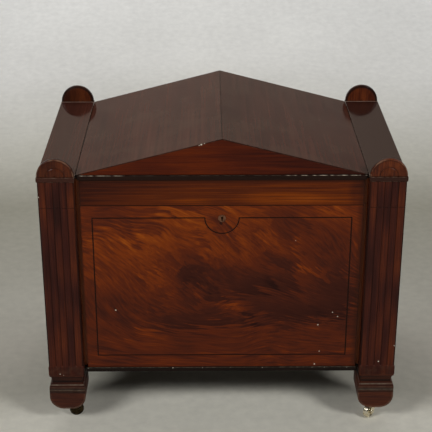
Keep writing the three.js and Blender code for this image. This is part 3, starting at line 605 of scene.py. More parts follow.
def sheet_zinc(name):
    """Crystal patches of a hot-dipped sheet: each cell of a broken grid has its own grey."""
    material, tree, shader = new_material(name, Metallic=1.0)
    place = object_mm(tree)
    cells = node(tree, "TexVoronoi", {"Vector": place, "Scale": 1 / SPANGLE})
    grey = node(tree, "ValToRGB", {"Fac": cells.outputs["Color"]},
                stops=((0.0, "#7c8084"), (1.0, "#9a9da0")))
    stain = node(tree, "TexNoise", {"Vector": place, "Scale": 1 / ZINC_STAIN, "Detail": 4.0})
    dull = node(tree, "MapRange", {"Value": stain, "From Min": 0.35, "From Max": 0.65,
                                   "To Min": 0.42, "To Max": 0.62})
    bump = node(tree, "Bump", {"Height": stain, "Strength": 0.3, "Distance": ZINC_RELIEF * MM})
    plug(tree, shader, {"Base Color": grey, "Roughness": dull, "Normal": bump})
    return material


NAP_TUFTS_PER_MM = 1.1        # real fibres are finer; these are as coarse as shows
NAP_RUBS = 35.0
NAP_RELIEF = 0.3


def wool_baize(name):
    """Napped woollen cloth glued over thin board: fine mottled fibres with a soft sheen."""
    material, tree, shader = new_material(name, Roughness=0.95, Sheen_Weight=0.5,
                                          Sheen_Roughness=0.6)
    place = object_mm(tree)
    nap = node(tree, "TexNoise", {"Vector": place, "Scale": NAP_TUFTS_PER_MM, "Detail": 4.0})
    rubbed = node(tree, "TexNoise", {"Vector": place, "Scale": 1 / NAP_RUBS, "Detail": 3.0})
    shade = node(tree, "Mix", {"Factor": 0.45, "A": nap, "B": rubbed})
    colour = node(tree, "ValToRGB", {"Fac": shade},
                  stops=((0.3, "#1f3d29"), (0.5, "#2f5a3c"), (0.7, "#4a7353")))
    bump = node(tree, "Bump", {"Height": nap, "Strength": 0.6, "Distance": NAP_RELIEF * MM})
    plug(tree, shader, {"Base Color": colour, "Normal": bump})
    return material


PAPER_MOTTLE = 400.0
PAPER_SPECKS_PER_MM = 0.045
PAPER_CONTRAST = 0.09
PAPER_NEAR = -1000.0          # depths over which the paper's painted light and shade run
PAPER_FAR = 3000.0
PAPER_LIFT = 2800.0           # height over which painted shade darkens it and clears again
PAPER_ASIDE = 0.25            # how far the painted light's lines fall back towards the sides
# Painted light and shade by depth: bright in front, darker far back where the floor meets the
# sweep, brighter up the sweep
PAPER_LIGHT_AND_SHADE = (
    (0.17, "#dddacd"), (0.222, "#e2dfd2"), (0.25, "#c4c1b4"), (0.30, "#c7c3b7"),
    (0.36, "#c6c3b7"), (0.515, "#a9a698"), (0.62, "#bdbbb1"), (0.765, "#d4d3cf"),
    (1.0, "#dadad8"),
)
# Painted shade by height: darker low on the sweep, clearing towards its top
SWEEP_SHADE_BY_HEIGHT = ((0.19, "#ffffff"), (0.34, "#bcb7b0"), (0.72, "#c2b6aa"), (0.9, "#e4d5c5"))


def studio_paper(name):
    """Matt grey paper, faintly mottled, with painted light and shade in its colour by depth and
    height.
    """
    material, tree, shader = new_material(name, Roughness=0.9, Specular_IOR_Level=0.2)
    place = object_mm(tree)
    spot = node(tree, "SeparateXYZ", {0: place}).outputs
    aside = node(tree, "Math", {0: spot["X"]}, operation="ABSOLUTE")
    depth = node(tree, "Math", {0: aside, 1: PAPER_ASIDE, 2: spot["Y"]},
                 operation="MULTIPLY_ADD")
    share = node(tree, "MapRange", {"Value": depth, "From Min": PAPER_NEAR,
                                    "From Max": PAPER_FAR})
    broad = node(tree, "TexNoise", {"Vector": place, "Scale": 1 / PAPER_MOTTLE, "Detail": 4.0})
    specks = node(tree, "TexNoise", {"Vector": place, "Scale": PAPER_SPECKS_PER_MM,
                                     "Detail": 4.0})
    mottle = node(tree, "Mix", {"Factor": 0.55, "A": broad, "B": specks})
    shade = node(tree, "MapRange", {
        "Value": mottle, "From Min": NOISE_LOW, "From Max": NOISE_HIGH,
        "To Min": 1 - PAPER_CONTRAST, "To Max": 1 + PAPER_CONTRAST})
    colour = node(tree, "ValToRGB", {"Fac": share}, stops=PAPER_LIGHT_AND_SHADE)
    height = node(tree, "MapRange", {"Value": spot["Z"], "From Max": PAPER_LIFT})
    shade_by_height = node(tree, "ValToRGB", {"Fac": height}, stops=SWEEP_SHADE_BY_HEIGHT)
    colour = node(tree, "VectorMath", {0: colour, 1: shade_by_height}, operation="MULTIPLY")
    colour = node(tree, "VectorMath", {0: colour, "Scale": shade}, operation="SCALE")
    plug(tree, shader, {"Base Color": colour})
    return material


# Finishes of this cellarette

DARK_GRAIN = ((0.25, "#24120e"), (0.5, "#3c1e17"), (0.75, "#5a2d1a"))
POST_GRAIN = ((0.2, "#1f110e"), (0.45, "#3a1b16"), (0.62, "#4f2417"), (0.85, "#713619"))
PLAIN_GRAIN = ((0.27, "#34160f"), (0.45, "#56240e"), (0.59, "#75340b"), (0.77, "#984c14"))
SIDE_GRAIN = ((0.25, "#30150f"), (0.45, "#4b2010"), (0.6, "#622b0f"), (0.8, "#7c3d14"))
RED_GRAIN = ((0.22, "#30120d"), (0.42, "#4d1c0d"), (0.58, "#67280a"), (0.78, "#853d11"))
ROOF_GRAIN = ((0.25, "#38201a"), (0.42, "#48271f"), (0.6, "#5b3328"), (0.8, "#744a3a"))
BLACK_GRAIN = ((0.3, "#120c0a"), (0.6, "#1d130f"), (0.8, "#291c16"))
EDGE_GRAIN = ((0.3, "#1a0e0a"), (0.6, "#271610"), (0.8, "#341f16"))
DISC_GRAIN = ((0.2, "#27120d"), (0.42, "#4c2215"), (0.6, "#72381c"), (0.8, "#985729"))

# French polish over crotch veneer: a soft gloss over plumes of dark and bright grain
flame = flame_veneer("flame_mahogany_veneer_french_polished")
# Straight veneer, French polished: long quiet streaks, redder under the roof
frieze = polished_wood("straight_mahogany_french_polished", PLAIN_GRAIN, "X", streak=3.0,
                       length=170.0, shine=0.08, soil_and_shade_lines=(JOINT, SHADE_UNDER_BAND, LEFT_POST_SHADE, RIGHT_POST_SHADE),
                       fade=("X", -60, -290, -0.2), pore=0.22, zones=FRIEZE_ZONES)
tympanum = polished_wood("red_mahogany_french_polished", RED_GRAIN, "X", streak=3.0,
                         length=120.0, shine=0.08, fade=("X", -60, 220, -0.22), pore=0.3,
                         chips=RAKE_CHIPS)
# Polish built up till it mirrors: grey light over brown wood, clouded where it is old
roof_wood = polished_wood("roof_veneer_mirror_polished", ROOF_GRAIN, "Y", streak=7.0,
                          length=260.0, rough=0.1, shine=0.12, flat=0.955, pore=0.12,
                          rubbing_and_highlight=0.4, relief=0.12, fade=("X", -200, 200, -0.05),
                          chips=RAKE_CHIPS, bloom="#5e4638", soil_and_shade_lines=(RIDGE, ROOF_END, EAVE))
cap_wood = polished_wood("cap_mahogany_mirror_polished", ROOF_GRAIN, "Y", streak=3.0,
                         length=240.0, rough=0.08, shine=0.12, rubbing_and_highlight=0.8, worn="#8d7765",
                         relief=0.15, fade=("X", -500, 290, -0.38), pale=(CAP_PALE_LINE,),
                         soil_and_shade_lines=(CAP_INNER_EDGE, CAP_FRONT_EDGE))
# Planed reeds, nearly black in the grooves with dirt and painted shade: each reed has a tone of
# its own
post_wood = {
    word: polished_wood(f"reeded_mahogany_stained_{word}", POST_GRAIN, "Z", streak=1.5,
                        length=120.0, rough=0.4, shine=0.08, carved=True,
                        reed=(corners(f"post_front_{word}")[0][0] + REED_MARGIN, REED_PITCH,
                              0.16),
                        chips=POST_CHIPS, fade=("Z", 480, 520, paler), soil_and_shade_lines=(POST_JOINT,))
    for word, paler in (("left", 0.09), ("right", 0.07))}
# The same stain on plain square posts: dark and quiet
rear_wood = polished_wood("square_post_mahogany_stained", POST_GRAIN, "Z", streak=2.0,
                          length=140.0, rough=0.4)
# Carved and stained: rubbed pale on the high places, the feet's shoulders with a painted
# highlight too; dirt and painted shade in the low ones
carved_wood = polished_wood("carved_mahogany_stained", DARK_GRAIN, "X", streak=2.4,
                            length=60.0, rough=0.36, shine=0.12, carved=True,
                            worn="#8f8370", rubbing_and_highlight=0.58, patchy=0.55,
                            fade=("X", -700, 700, 0.14))
# Turned on the lathe and polished there: bright rings beside dark scored ones, darkened with
# dirt and painted shade
disc_wood = polished_wood("turned_mahogany_polished", DISC_GRAIN, "Z", streak=3.0,
                          length=40.0, rough=0.3, shine=0.12, carved=True)
# Plainer boards where few look: polished ends, their front edges painted pale with light, an
# oiled back
side_wood = polished_wood("side_mahogany_french_polished", SIDE_GRAIN, "Y", streak=3.4,
                          length=200.0, pale=(PAINTED_LIGHT_EDGE,), pale_colour="#a04e1e")
back_wood = polished_wood("back_mahogany_oiled", DARK_GRAIN, "X", streak=4.0, length=220.0,
                          rough=0.5)
# Ebonised mouldings: black, and pale again along the upward arrises, rubbed by hands and cloths
# and with a painted highlight
ebonised_band = polished_wood("ebonised_band_rubbed_at_ends_painted_highlight", EDGE_GRAIN, "X",
                              streak=2.0, length=80.0, rough=0.42, shine=0.1,
                              worn="#c4b8a4", rubbing_and_highlight=1.0, top_highlight=True, rubs=BAND_RUBS)
ebonised_bead = polished_wood("ebonised_bead_painted_highlight_rubbed", BLACK_GRAIN, "X", streak=2.0,
                              length=80.0, rough=0.42, shine=0.1, worn="#8e806c", rubbing_and_highlight=0.5,
                              top_highlight=True, patchy=0.8, chips=BEAD_CHIPS)
# Ebony let in flush: one thin dull black line
string_wood = polished_wood("ebony_string", EDGE_GRAIN, "X", streak=1.0, length=30.0,
                            rough=0.4, shine=0.08)
# Brass: cast and lacquered, rubbed pale by the key, or left to go brown; the castors' brass is
# painted near white with light on three and dark with shade on the front left one
old_brass = metal("lacquered_brass_worn", ("#8a6a34", "#c9a862"), 0.34)
plate_brass = metal("keyhole_brass_rubbed_pale", ("#694837", "#9e725a"), 0.45,
                    dark_marks=KEYHOLE_SHADE)
lit_castor_brass = metal("castor_brass_painted_light", ("#d8cbaa", "#f8f1dd"), 0.25, 0.08)
shaded_castor_brass = metal("castor_brass_painted_shade", ("#211b13", "#483b27"), 0.36)
dark_metal = metal("lock_brass_tarnished", ("#4c3d26", "#7a6338"), 0.48)
# Hot-dipped sheet gone dull, napped wool, and the matt paper under it all
zinc = sheet_zinc("sheet_zinc_dulled")
baize = wool_baize("green_wool_baize")
paper = studio_paper("grey_studio_paper")

# Making pieces

LOFT_MERGE = 0.001
CAD_MERGE = 0.002
FLAT_SEAM = math.radians(0.4)         # a CAD seam that turns by less is dissolved
CORNER_REACH = 0.01


def finish_piece(name, body, material, node_name, mesh):
    """Puts a finished mesh into the scene on its body and hides the CAD node it stands for."""
    obj = bpy.data.objects.new(name, mesh)
    bpy.context.scene.collection.objects.link(obj)
    mesh.materials.clear()
    mesh.materials.append(material)
    mesh.shade_smooth()
    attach(obj, body)
    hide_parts(node_name)
    return obj


def lofted(rings, marks=None):
    """Mesh of closed rings joined in order, with a flat face over the first and the last.

    rings is levels by points by three; marks gives a number per point for each attribute.
    """
    levels, around, _ = rings.shape
    here = np.arange(levels * around).reshape(levels, around)
    there = np.roll(here, -1, axis=1)
    quads = np.stack([here[:-1], there[:-1], there[1:], here[1:]], axis=-1).reshape(-1, 4)
    faces = [*quads.tolist(), here[0][::-1].tolist(), here[-1].tolist()]
    mesh = bpy.data.meshes.new("lofted")
    mesh.from_pydata((rings.reshape(-1, 3) * MM).tolist(), [], faces)
    for key, values in (marks or {}).items():
        mesh.attributes.new(key, "FLOAT", "POINT").data.foreach_set("value", values.ravel())
    shell = bmesh.new()
    shell.from_mesh(mesh)
    bmesh.ops.remove_doubles(shell, verts=shell.verts, dist=LOFT_MERGE * MM)
    bmesh.ops.recalc_face_normals(shell, faces=shell.faces)
    shell.to_mesh(mesh)
    shell.free()
    return mesh


def merged(mesh):
    """Editable copy of a CAD mesh, its triangles joined and its flat seams dissolved."""
    shell = bmesh.new()
    shell.from_mesh(mesh)
    bmesh.ops.remove_doubles(shell, verts=shell.verts, dist=CAD_MERGE * MM)
    bmesh.ops.dissolve_limit(shell, angle_limit=FLAT_SEAM, verts=shell.verts,
                             edges=shell.edges)
    return shell


def arris(obj, width, segments, angle):
    """Rounds every edge sharper than the angle with a live bevel that keeps the flats flat."""
    bevel = obj.modifiers.new("arris", "BEVEL")
    bevel.width = width * MM
    bevel.segments = segments
    bevel.limit_method = "ANGLE"
    bevel.angle_limit = math.radians(angle)
    bevel.harden_normals = True
    return obj


def eased(node_name, name, body, slot, material, width, segments, angle=30, outside=False):
    """A CAD piece with its arrises eased: its mesh copied, merged, cleared of flat seams.

    With outside only the board's own twelve arrises are eased, and its mortises stay sharp.
    """
    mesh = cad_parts[node_name].data.copy()
    for stored in ("custom_normal", "sharp_edge", "sharp_face"):
        if stored in mesh.attributes:
            mesh.attributes.remove(mesh.attributes[stored])
    shell = merged(mesh)
    if outside:
        low, high = corners(node_name)
        eases = shell.edges.layers.float.new("bevel_weight_edge")
        for edge in shell.edges:
            ends = np.array([vertex.co for vertex in edge.verts]) / MM
            at_side = (np.isclose(ends, low, atol=CORNER_REACH)
                       | np.isclose(ends, high, atol=CORNER_REACH))
            turned = edge.calc_face_angle(0) > math.radians(angle)
            edge[eases] = float(turned and at_side.all(0).sum() >= 2)
    shell.to_mesh(mesh)
    shell.free()
    made = arris(finish_piece(name, body, material, node_name, mesh),
                 width, segments, angle)
    if outside:
        made.modifiers["arris"].limit_method = "WEIGHT"


# Reeded posts and lid heads

REED_DEPTH = 2.6
REED_POINTS = 15
REED_EDGE_SHARE = 0.995       # of a reed's half width, short of where its circle stands upright
POST_ARRIS = 0.9
ARRIS_POINTS = 5
SIDE_POINTS = 6
SIDE_FRONT = 6                # a side's first point lies this far behind the front
SIDE_BACK = 1                 # and its last one this far from the back
POST_END_ROUND = 0.8
POST_END_POINTS = 4
POST_LEVELS = 60
BLOCK_TOP = 140.0
BLOCK_LEVELS = 16
REED_RUN_IN = 3               # above the block, over which the reeds reach their depth
BLOCK_SWELL = 0.9
BLOCK_SWELL_BELOW, BLOCK_SWELL_ABOVE = 0.8, 0.3  # its top edge slopes between these
GROOVE_SOIL_AND_SHADE_START = 0.59      # share of a reed's sinking below which dirt and painted shade lie
GROOVE_SOIL_AND_SHADE_RISE = 2.2
GROOVE_SOIL_AND_SHADE_MOST = 0.85
HANDLED_DIRT = 0.32
HANDLED_WEAR = 0.1


def reeded_outline(x0, x1, back, front):
    """Plan of a post, front edge first: x, y and the share of the reed's sinking there.

    Across a reed the sinking is one less the height of a circle; the margins are sunk whole.
    """
    turn = np.linspace(0, math.pi / 2, ARRIS_POINTS)
    pitch = (x1 - x0 - 2 * REED_MARGIN) / REED_COUNT
    across = np.linspace(-REED_EDGE_SHARE, REED_EDGE_SHARE, REED_POINTS)
    middles = x0 + REED_MARGIN + (np.arange(REED_COUNT) + 0.5) * pitch
    reed_x = (middles[:, None] + across * pitch / 2).ravel()
    reed_sunk = np.tile(1 - np.sqrt(1 - across ** 2), REED_COUNT)
    left_x = x0 + POST_ARRIS * (1 - np.sin(turn))
    left_y = front + POST_ARRIS * (1 - np.cos(turn))
    sides = np.linspace(front + SIDE_FRONT, back - SIDE_BACK, SIDE_POINTS)
    rear = np.linspace(x1 - SIDE_BACK, x0 + SIDE_BACK, SIDE_POINTS)
    x = np.concatenate([left_x[::-1], reed_x, x0 + x1 - left_x, np.full(SIDE_POINTS, x1),
                        rear, np.full(SIDE_POINTS, x0)])
    y = np.concatenate([left_y[::-1], np.full(reed_x.size, front), left_y, sides,
                        np.full(SIDE_POINTS, back), sides[::-1]])
    sunk = np.concatenate([np.ones(ARRIS_POINTS), reed_sunk, np.ones(ARRIS_POINTS),
                           np.zeros(3 * SIDE_POINTS)])
    return x, y, sunk


def reeded_post(node_name, name, body, material, block_top=None):
    """A reeded front post or lid head: its plan carried up, the reeds stopped over a block.

    The sinking grows from nought at the block's top within a few millimetres, the block
    itself stands a little proud at the sides, and both ends are rounded under. The lower part
    of each groove is darkened with soil and painted shade, and hands have soiled the block.
    """
    (x0, y0, z0), (x1, y1, z1) = corners(node_name)
    x, y, sunk = reeded_outline(x0, x1, y1, y0)
    turn = np.linspace(0, math.pi / 2, POST_END_POINTS)
    rounding = POST_END_ROUND * (1 - np.sin(turn))
    ends = POST_END_ROUND * (1 - np.cos(turn))
    inner = np.linspace(z0 + 1, z1 - 1, POST_LEVELS)
    if block_top:
        inner = np.union1d(inner, np.linspace(block_top - 1, block_top + 4, BLOCK_LEVELS))
    z = np.concatenate([z0 + ends, inner, (z1 - ends)[::-1]])
    shrink = np.concatenate([rounding, np.zeros(inner.size), rounding[::-1]])
    reeded, swell, handled = np.ones(z.size), np.zeros(z.size), np.zeros(z.size)
    if block_top:
        reeded = ease(z, block_top, block_top + REED_RUN_IN)
        swell = BLOCK_SWELL * ease(z, block_top + BLOCK_SWELL_ABOVE,
                                   block_top - BLOCK_SWELL_BELOW)
        handled = ease(z, block_top + REED_RUN_IN, block_top - 1)
    middle_x, middle_y = (x0 + x1) / 2, (y0 + y1) / 2
    wide = 1 + (swell - shrink)[:, None] * 2 / (x1 - x0)
    deep = 1 - shrink[:, None] * 2 / (y1 - y0)
    share = sunk[None] * reeded[:, None]
    rings = np.stack([
        middle_x + (x - middle_x)[None] * wide,
        middle_y + (y - middle_y)[None] * deep + REED_DEPTH * share,
        np.broadcast_to(z[:, None], (z.size, x.size)),
    ], axis=-1)
    grooves = np.clip((share - GROOVE_SOIL_AND_SHADE_START) * GROOVE_SOIL_AND_SHADE_RISE, 0, GROOVE_SOIL_AND_SHADE_MOST)
    marks = {"soil_and_shade": grooves + HANDLED_DIRT * handled[:, None],
             "rubbing_and_highlight": share * 0 + HANDLED_WEAR * handled[:, None]}
    finish_piece(name, body, material, node_name, lofted(rings, marks))


for word, wood in post_wood.items():
    reeded_post(f"post_front_{word}", f"reeded_post_{word}", "case", wood, BLOCK_TOP)
    reeded_post(f"lid_head_front_{word}", f"reeded_head_{word}", "lid", wood)

# Half-discs on the caps

# Radius and sinking from a face's middle to its rim. The outer face has a shallow dome, a
# scored ring and a flat rim with a rounded arris; the inner face is plain with a dark rim.
OUTER_FACE = np.array([
    (0, 0.25), (6, 0.3), (12, 0.45), (15, 0.7), (17, 0.95), (17.6, 1.6), (18.2, 1.75),
    (18.8, 1.6), (19.4, 0.85), (22, 0.5), (26, 0.25), (31, 0.1), (33.8, 0.0), (34.9, 0.25),
    (35.8, 0.8), (36.3, 1.6), (36.5, 2.4),
])
INNER_FACE = np.array([
    (0, 0.15), (6, 0.15), (12, 0.15), (17, 0.15), (22, 0.15), (26, 0.15), (29, 0.15),
    (30.5, 0.2), (31.5, 0.35), (32.5, 0.7), (33.3, 1.0), (34.2, 1.2), (35, 1.4),
    (35.7, 1.7), (36.2, 2.1), (36.4, 2.6), (36.5, 3.2),
])
POINTS = np.arange(OUTER_FACE.shape[0])
# Darkening across the outer face, the scored ring with dirt and painted shade
OUTER_SOIL_AND_SHADE = np.interp(POINTS, [0, 4, 6, 8, 11, 12, 13], [0.22, 0.22, 0.65, 0, 0, 0.6, 0])
INNER_GRIME = np.interp(POINTS, [6, 9], [0, 0.85])
OUTER_WEAR = np.interp(POINTS, [12, 13, 15, 16], [0, 1, 1, 0])
SWING_STEPS = 57
WAX_INNER_SHARE = 0.6         # of the wax, left at the inner end
WAX_RUN = (-0.6, 0.7)         # shares of the radius between which it grows to the whole


def half_disc(node_name, name, end, dark_marks):
    """The section of radius and sinking on both faces, swung half round over the cap.

    Its last argument is the share of old dark wax left towards the outer end of the case.
    """
    (x0, y0, z0), (x1, y1, z1) = corners(node_name)
    outer_y, inner_y = (y0, y1) if end < 0 else (y1, y0)
    scale = (z1 - z0) / OUTER_FACE[:, 0].max()
    radius = np.concatenate([OUTER_FACE[:, 0], INNER_FACE[::-1, 0]]) * scale
    y = np.concatenate([outer_y - end * OUTER_FACE[:, 1],
                        inner_y + end * INNER_FACE[::-1, 1]])
    swing = np.linspace(0, math.pi, SWING_STEPS)[:, None]
    rings = np.stack([
        (x0 + x1) / 2 + radius * np.cos(swing),
        np.broadcast_to(y, (swing.size, y.size)),
        z0 + radius * np.sin(swing),
    ], axis=-1)
    one = np.ones_like(swing)
    outward = np.sign(x0 + x1) * radius * np.cos(swing) / radius.max()
    waxed = dark_marks * (WAX_INNER_SHARE + (1 - WAX_INNER_SHARE) * ease(outward, *WAX_RUN))
    marks = {"soil_and_shade": np.maximum(one * np.concatenate([OUTER_SOIL_AND_SHADE, INNER_GRIME[::-1]]), waxed),
             "rubbing_and_highlight": one * np.concatenate([OUTER_WEAR, OUTER_WEAR * 0])}
    finish_piece(name, "lid", disc_wood, node_name, lofted(rings, marks))


for place_word, end, dark_marks in (("front_left", -1, 0.42), ("front_right", -1, 0.1),
                              ("rear_left", 1, 0.65), ("rear_right", 1, 0.0)):
    half_disc(f"half_disc_{place_word}", f"turned_half_disc_{place_word}", end, dark_marks)

# Feet

FOOT_TOP = 100.0
FOOT_LIP = 1.5                # a foot stands out this far from its post
NECK_TOP = 117.2
NECK_LOW = 103.0
NECK_INSET = 4.5
SHOULDER_LOW = 87.0
LOBE_FLAT = 9.5
BAND_LOW = 77.0
LINE_COUNT = 3
LINE_PITCH = 10 / 3
LINE_WIDTH = 1.2
CARVED_DEPTH = 0.8
FIELD_BORDER = 3.5
FOOT_CORNER = 1.3
CORNER_STEPS = 8
LOBE_STEPS = 30
HOLLOW_STEPS = 20
LEVEL_PITCH = 0.5
LEVELS_FROM = 64              # sections lie closer from this level up
TOP_ROUND = 0.5               # the neck's top edge draws in by this
TOP_ROUND_REACH = 0.35        # and fades within about this
FACE_SHARES = (0.9, 0.99)     # of the half depth, between which the outer face begins
LINE_EDGE = (0.35, -0.15)     # past a line's half width: where its cut starts, and is whole
FIELD_EDGE = (-0.3, 0.4)      # the same for the field's border
RIM_WEAR = 0.4
LINE_SOIL_AND_SHADE = 0.9
FIELD_DIRT = 0.08
# Bands up a foot: level, how far off they start and are whole, and share
# Pale bands of wear on the ridges; the top one, on the shoulder, is also a painted highlight
FACE_RUBS_AND_HIGHLIGHT = ((97.0, 1.9, 0.3, 0.75), (91.5, 1.1, 0.3, 0.3), (88.3, 1.0, 0.3, 0.35),
             (84.7, 1.5, 0.3, 0.75), (81.2, 1.1, 0.3, 0.35))
FACE_DIRT = ((89.0, 13, 9, 0.4),)
# Painted shade in the neck's hollow under the post
NECK_SHADE = ((NECK_LOW, 4, 0, 0.7), ((NECK_LOW + NECK_TOP) / 2, 10, 5, 0.55))


def banded(level, bands):
    """Sum of the bands' shares at each level, each eased off on both sides of its own."""
    return sum(share * ease(np.abs(level - middle), start, whole)
               for middle, start, whole, share in bands)


def foot_halves(z, bottom, lobe_half, post_half):
    """Half width seen from the front and half depth seen from the side, at each level.

    From the top: a fillet, a quarter hollow to the neck, a quarter round shoulder, and the
    lobe, whose lower corners are quarter circles in the front view only.
    """
    neck_half = post_half - NECK_INSET
    hollow_share = np.clip((z - NECK_LOW) / (NECK_TOP - NECK_LOW), 0, 1)
    hollow = post_half - NECK_INSET * np.sqrt(1 - hollow_share ** 2)
    shoulder_share = np.clip((z - SHOULDER_LOW) / (FOOT_TOP - SHOULDER_LOW), 0, 1)
    shoulder = neck_half + (lobe_half - neck_half) * np.sqrt(1 - shoulder_share ** 2)
    side = np.where(z > NECK_TOP, post_half, np.where(z > FOOT_TOP, hollow, shoulder))
    side = np.where((z > FOOT_TOP) & (z < NECK_LOW), neck_half, side)
    side = np.where(z < SHOULDER_LOW, lobe_half, side)
    round_radius = lobe_half - LOBE_FLAT
    drop = np.clip(round_radius - (z - bottom), 0, round_radius)
    lobe = LOBE_FLAT + np.sqrt(round_radius ** 2 - drop ** 2)
    return np.minimum(side, lobe), side


def section(half_x, half_y, corner, steps):
    """Rounded rectangle about the origin, front edge first, with its corners' quarter turns."""
    edge_points = steps * 3
    turn = np.linspace(0, math.pi / 2, steps)
    run = np.linspace(-1, 1, edge_points + 2)[1:-1]
    flat_x, flat_y = half_x - corner, half_y - corner
    x = np.concatenate([flat_x * run, flat_x + corner * np.sin(turn),
                        np.full(edge_points, half_x), flat_x + corner * np.cos(turn)])
    y = np.concatenate([np.full(edge_points, -half_y), -flat_y - corner * np.cos(turn),
                        flat_y * run, flat_y + corner * np.sin(turn)])
    return np.concatenate([x, -x]), np.concatenate([y, -y])


def foot(node_name, name, end):
    """Rounded sections stacked up the foot's two profiles, its outer face lined and sunk.

    Three lines are cut round the band under the shoulder, and below it a field is sunk
    within a border. The lines hold soil and painted shade, the neck is painted with the shade
    of its hollow, and the border and the ridges are rubbed, the shoulder with a painted
    highlight as well.
    """
    (x0, y0, z0), (x1, y1, z1) = corners(node_name)
    lobe_half = (x1 - x0) / 2
    post_half = lobe_half - FOOT_LIP
    round_radius = lobe_half - LOBE_FLAT
    lobe_turn = np.linspace(0, math.pi / 2, LOBE_STEPS)
    quarter = 1 - np.cos(lobe_turn[:HOLLOW_STEPS])
    z = np.unique(np.round(np.concatenate([
        z0 + round_radius * (1 - np.cos(lobe_turn)), np.arange(LEVELS_FROM, z1, LEVEL_PITCH),
        FOOT_TOP + 0.01 - (FOOT_TOP - SHOULDER_LOW) * quarter,
        NECK_TOP - (NECK_TOP - NECK_LOW) * quarter, [NECK_TOP + 0.05, z1]]), 3))
    half_x, half_y = foot_halves(z, z0, lobe_half, post_half)
    half_x = half_x - TOP_ROUND * np.exp(-(z1 - z) / TOP_ROUND_REACH)
    sections = [section(wide, deep, FOOT_CORNER, CORNER_STEPS)
                for wide, deep in zip(half_x, half_y)]
    x, y = np.array(sections).transpose(1, 0, 2)
    level = np.broadcast_to(z[:, None], x.shape)
    outer = ease(-y / half_y[:, None], *FACE_SHARES)
    first_line = SHOULDER_LOW - LINE_WIDTH / 2
    cut, whole = LINE_WIDTH / 2 + np.array(LINE_EDGE)
    lines = banded(level, [(first_line - line * LINE_PITCH, cut, whole, 1.0)
                           for line in range(LINE_COUNT)])
    inset_half = lobe_half - FIELD_BORDER
    inset_round = round_radius - FIELD_BORDER
    drop = np.clip(inset_round - (level - z0 - FIELD_BORDER), 0, inset_round)
    inset_width = inset_half - inset_round + np.sqrt(inset_round ** 2 - drop ** 2)
    field = math.prod(ease(inside, *FIELD_EDGE) for inside in (
        inset_width - np.abs(x), BAND_LOW - level, level - z0 - FIELD_BORDER))
    y = y + CARVED_DEPTH * outer * (lines + field)
    rim = (1 - field) * (level < BAND_LOW)
    # Pale: the rubbed border and ridges, the shoulder with a painted highlight as well
    rubbing_and_highlight = outer * np.clip(banded(level, FACE_RUBS_AND_HIGHLIGHT) + RIM_WEAR * rim, 0, 1)
    # Dark: dirt with painted shade in the cut lines, a little dirt in the field, a band of dirt
    # across the face, painted shade in the neck
    carved_soil_and_shade = np.clip(lines * LINE_SOIL_AND_SHADE + field * FIELD_DIRT, 0, 1)
    soil_and_shade = outer * (carved_soil_and_shade + banded(level, FACE_DIRT)) + banded(level, NECK_SHADE)
    rings = np.stack([(x0 + x1) / 2 + x, (y0 + y1) / 2 - end * y, level], axis=-1)
    mesh = lofted(rings, {"rubbing_and_highlight": rubbing_and_highlight, "soil_and_shade": np.clip(soil_and_shade, 0, 1)})
    finish_piece(name, "case", carved_wood, node_name, mesh)


for end_word, end in (("front", -1), ("rear", 1)):
    for word in ("left", "right"):
        foot(f"foot_{end_word}_{word}", f"lobed_foot_{end_word}_{word}", end)

# Roof and gables

VENEER = 1.5                  # carried over the gables, so that its edge shows
VENEER_GAP = 0.06
ROOF_BOARD = 12.0
EAVE_REACH = 2.8              # the veneer and its bedding close up to the caps
RIDGE_SEAM = 0.15
GABLE_INSET = 0.3             # of the gable's face behind the veneer's edge
ROOF_ARRIS = 0.35
GABLE_ARRIS = 0.3
RAKE_ANGLE = 40               # least angle of an edge that is rounded here


def gable_frame():
    """Half width, base height, ridge height and slope angle of the roof as veneered."""
    (x0, _, z0), (x1, _, z1) = corners("gable_front")
    half = (x1 - x0) / 2 + EAVE_REACH
    return half, z0, z1, math.atan2(z1 - z0, half)


def roof(word, side):
    """A board's section in depth and thickness, carried up the slope from eave to ridge.

    The section is thick between the gables and thin over them. A point at a given depth
    under the slope meets the base plane further in by that depth over the slope's sine.
    """
    half, base, ridge, slope = gable_frame()
    front = corners("gable_front")[0][1]
    rear = corners("gable_rear")[1][1]
    low, high = (corner[1] for corner in corners(f"roof_{word}"))
    y = np.array([front, rear, rear, high, high, low, low, front])
    under = np.array([0, 0, VENEER, VENEER, ROOF_BOARD, ROOF_BOARD, VENEER, VENEER])
    eave_x = half - under / math.sin(slope)
    ridge_z = ridge - RIDGE_SEAM * math.tan(slope) - under / math.cos(slope)
    share = np.linspace(0, 1, 9)[:, None]
    x = eave_x * (1 - share) + RIDGE_SEAM * share
    z = base * (1 - share) + ridge_z * share
    rings = np.stack([side * x, np.broadcast_to(y, x.shape), z], axis=-1)
    arris(finish_piece(f"veneered_roof_{word}", "lid", roof_wood,
                       f"roof_{word}", lofted(rings)), ROOF_ARRIS, 2, RAKE_ANGLE)


def gable(word):
    """The triangle under the roof's veneer, carried through the board's thickness."""
    half, base, ridge, slope = gable_frame()
    (_, y0, _), (_, y1, _) = corners(f"gable_{word}")
    clear = VENEER + VENEER_GAP
    foot_x = half - clear / math.sin(slope)
    apex = ridge - clear / math.cos(slope)
    share = np.linspace(0, 1, 13)
    x = np.concatenate([foot_x * (1 - share), -foot_x * share[1:], [0]])
    z = np.concatenate([base + (apex - base) * share, base + (apex - base) * (1 - share[1:]),
                        [base]])
    rings = np.stack([np.stack([x, np.full(x.size, y), z], axis=-1)
                      for y in (y0 + GABLE_INSET, y1)])
    arris(finish_piece(f"veneered_gable_{word}", "lid", tympanum,
                       f"gable_{word}", lofted(rings)), GABLE_ARRIS, 2, RAKE_ANGLE)


for word, side in (("left", -1), ("right", 1)):
    roof(word, side)
for word in ("front", "rear"):
    gable(word)

# Front board


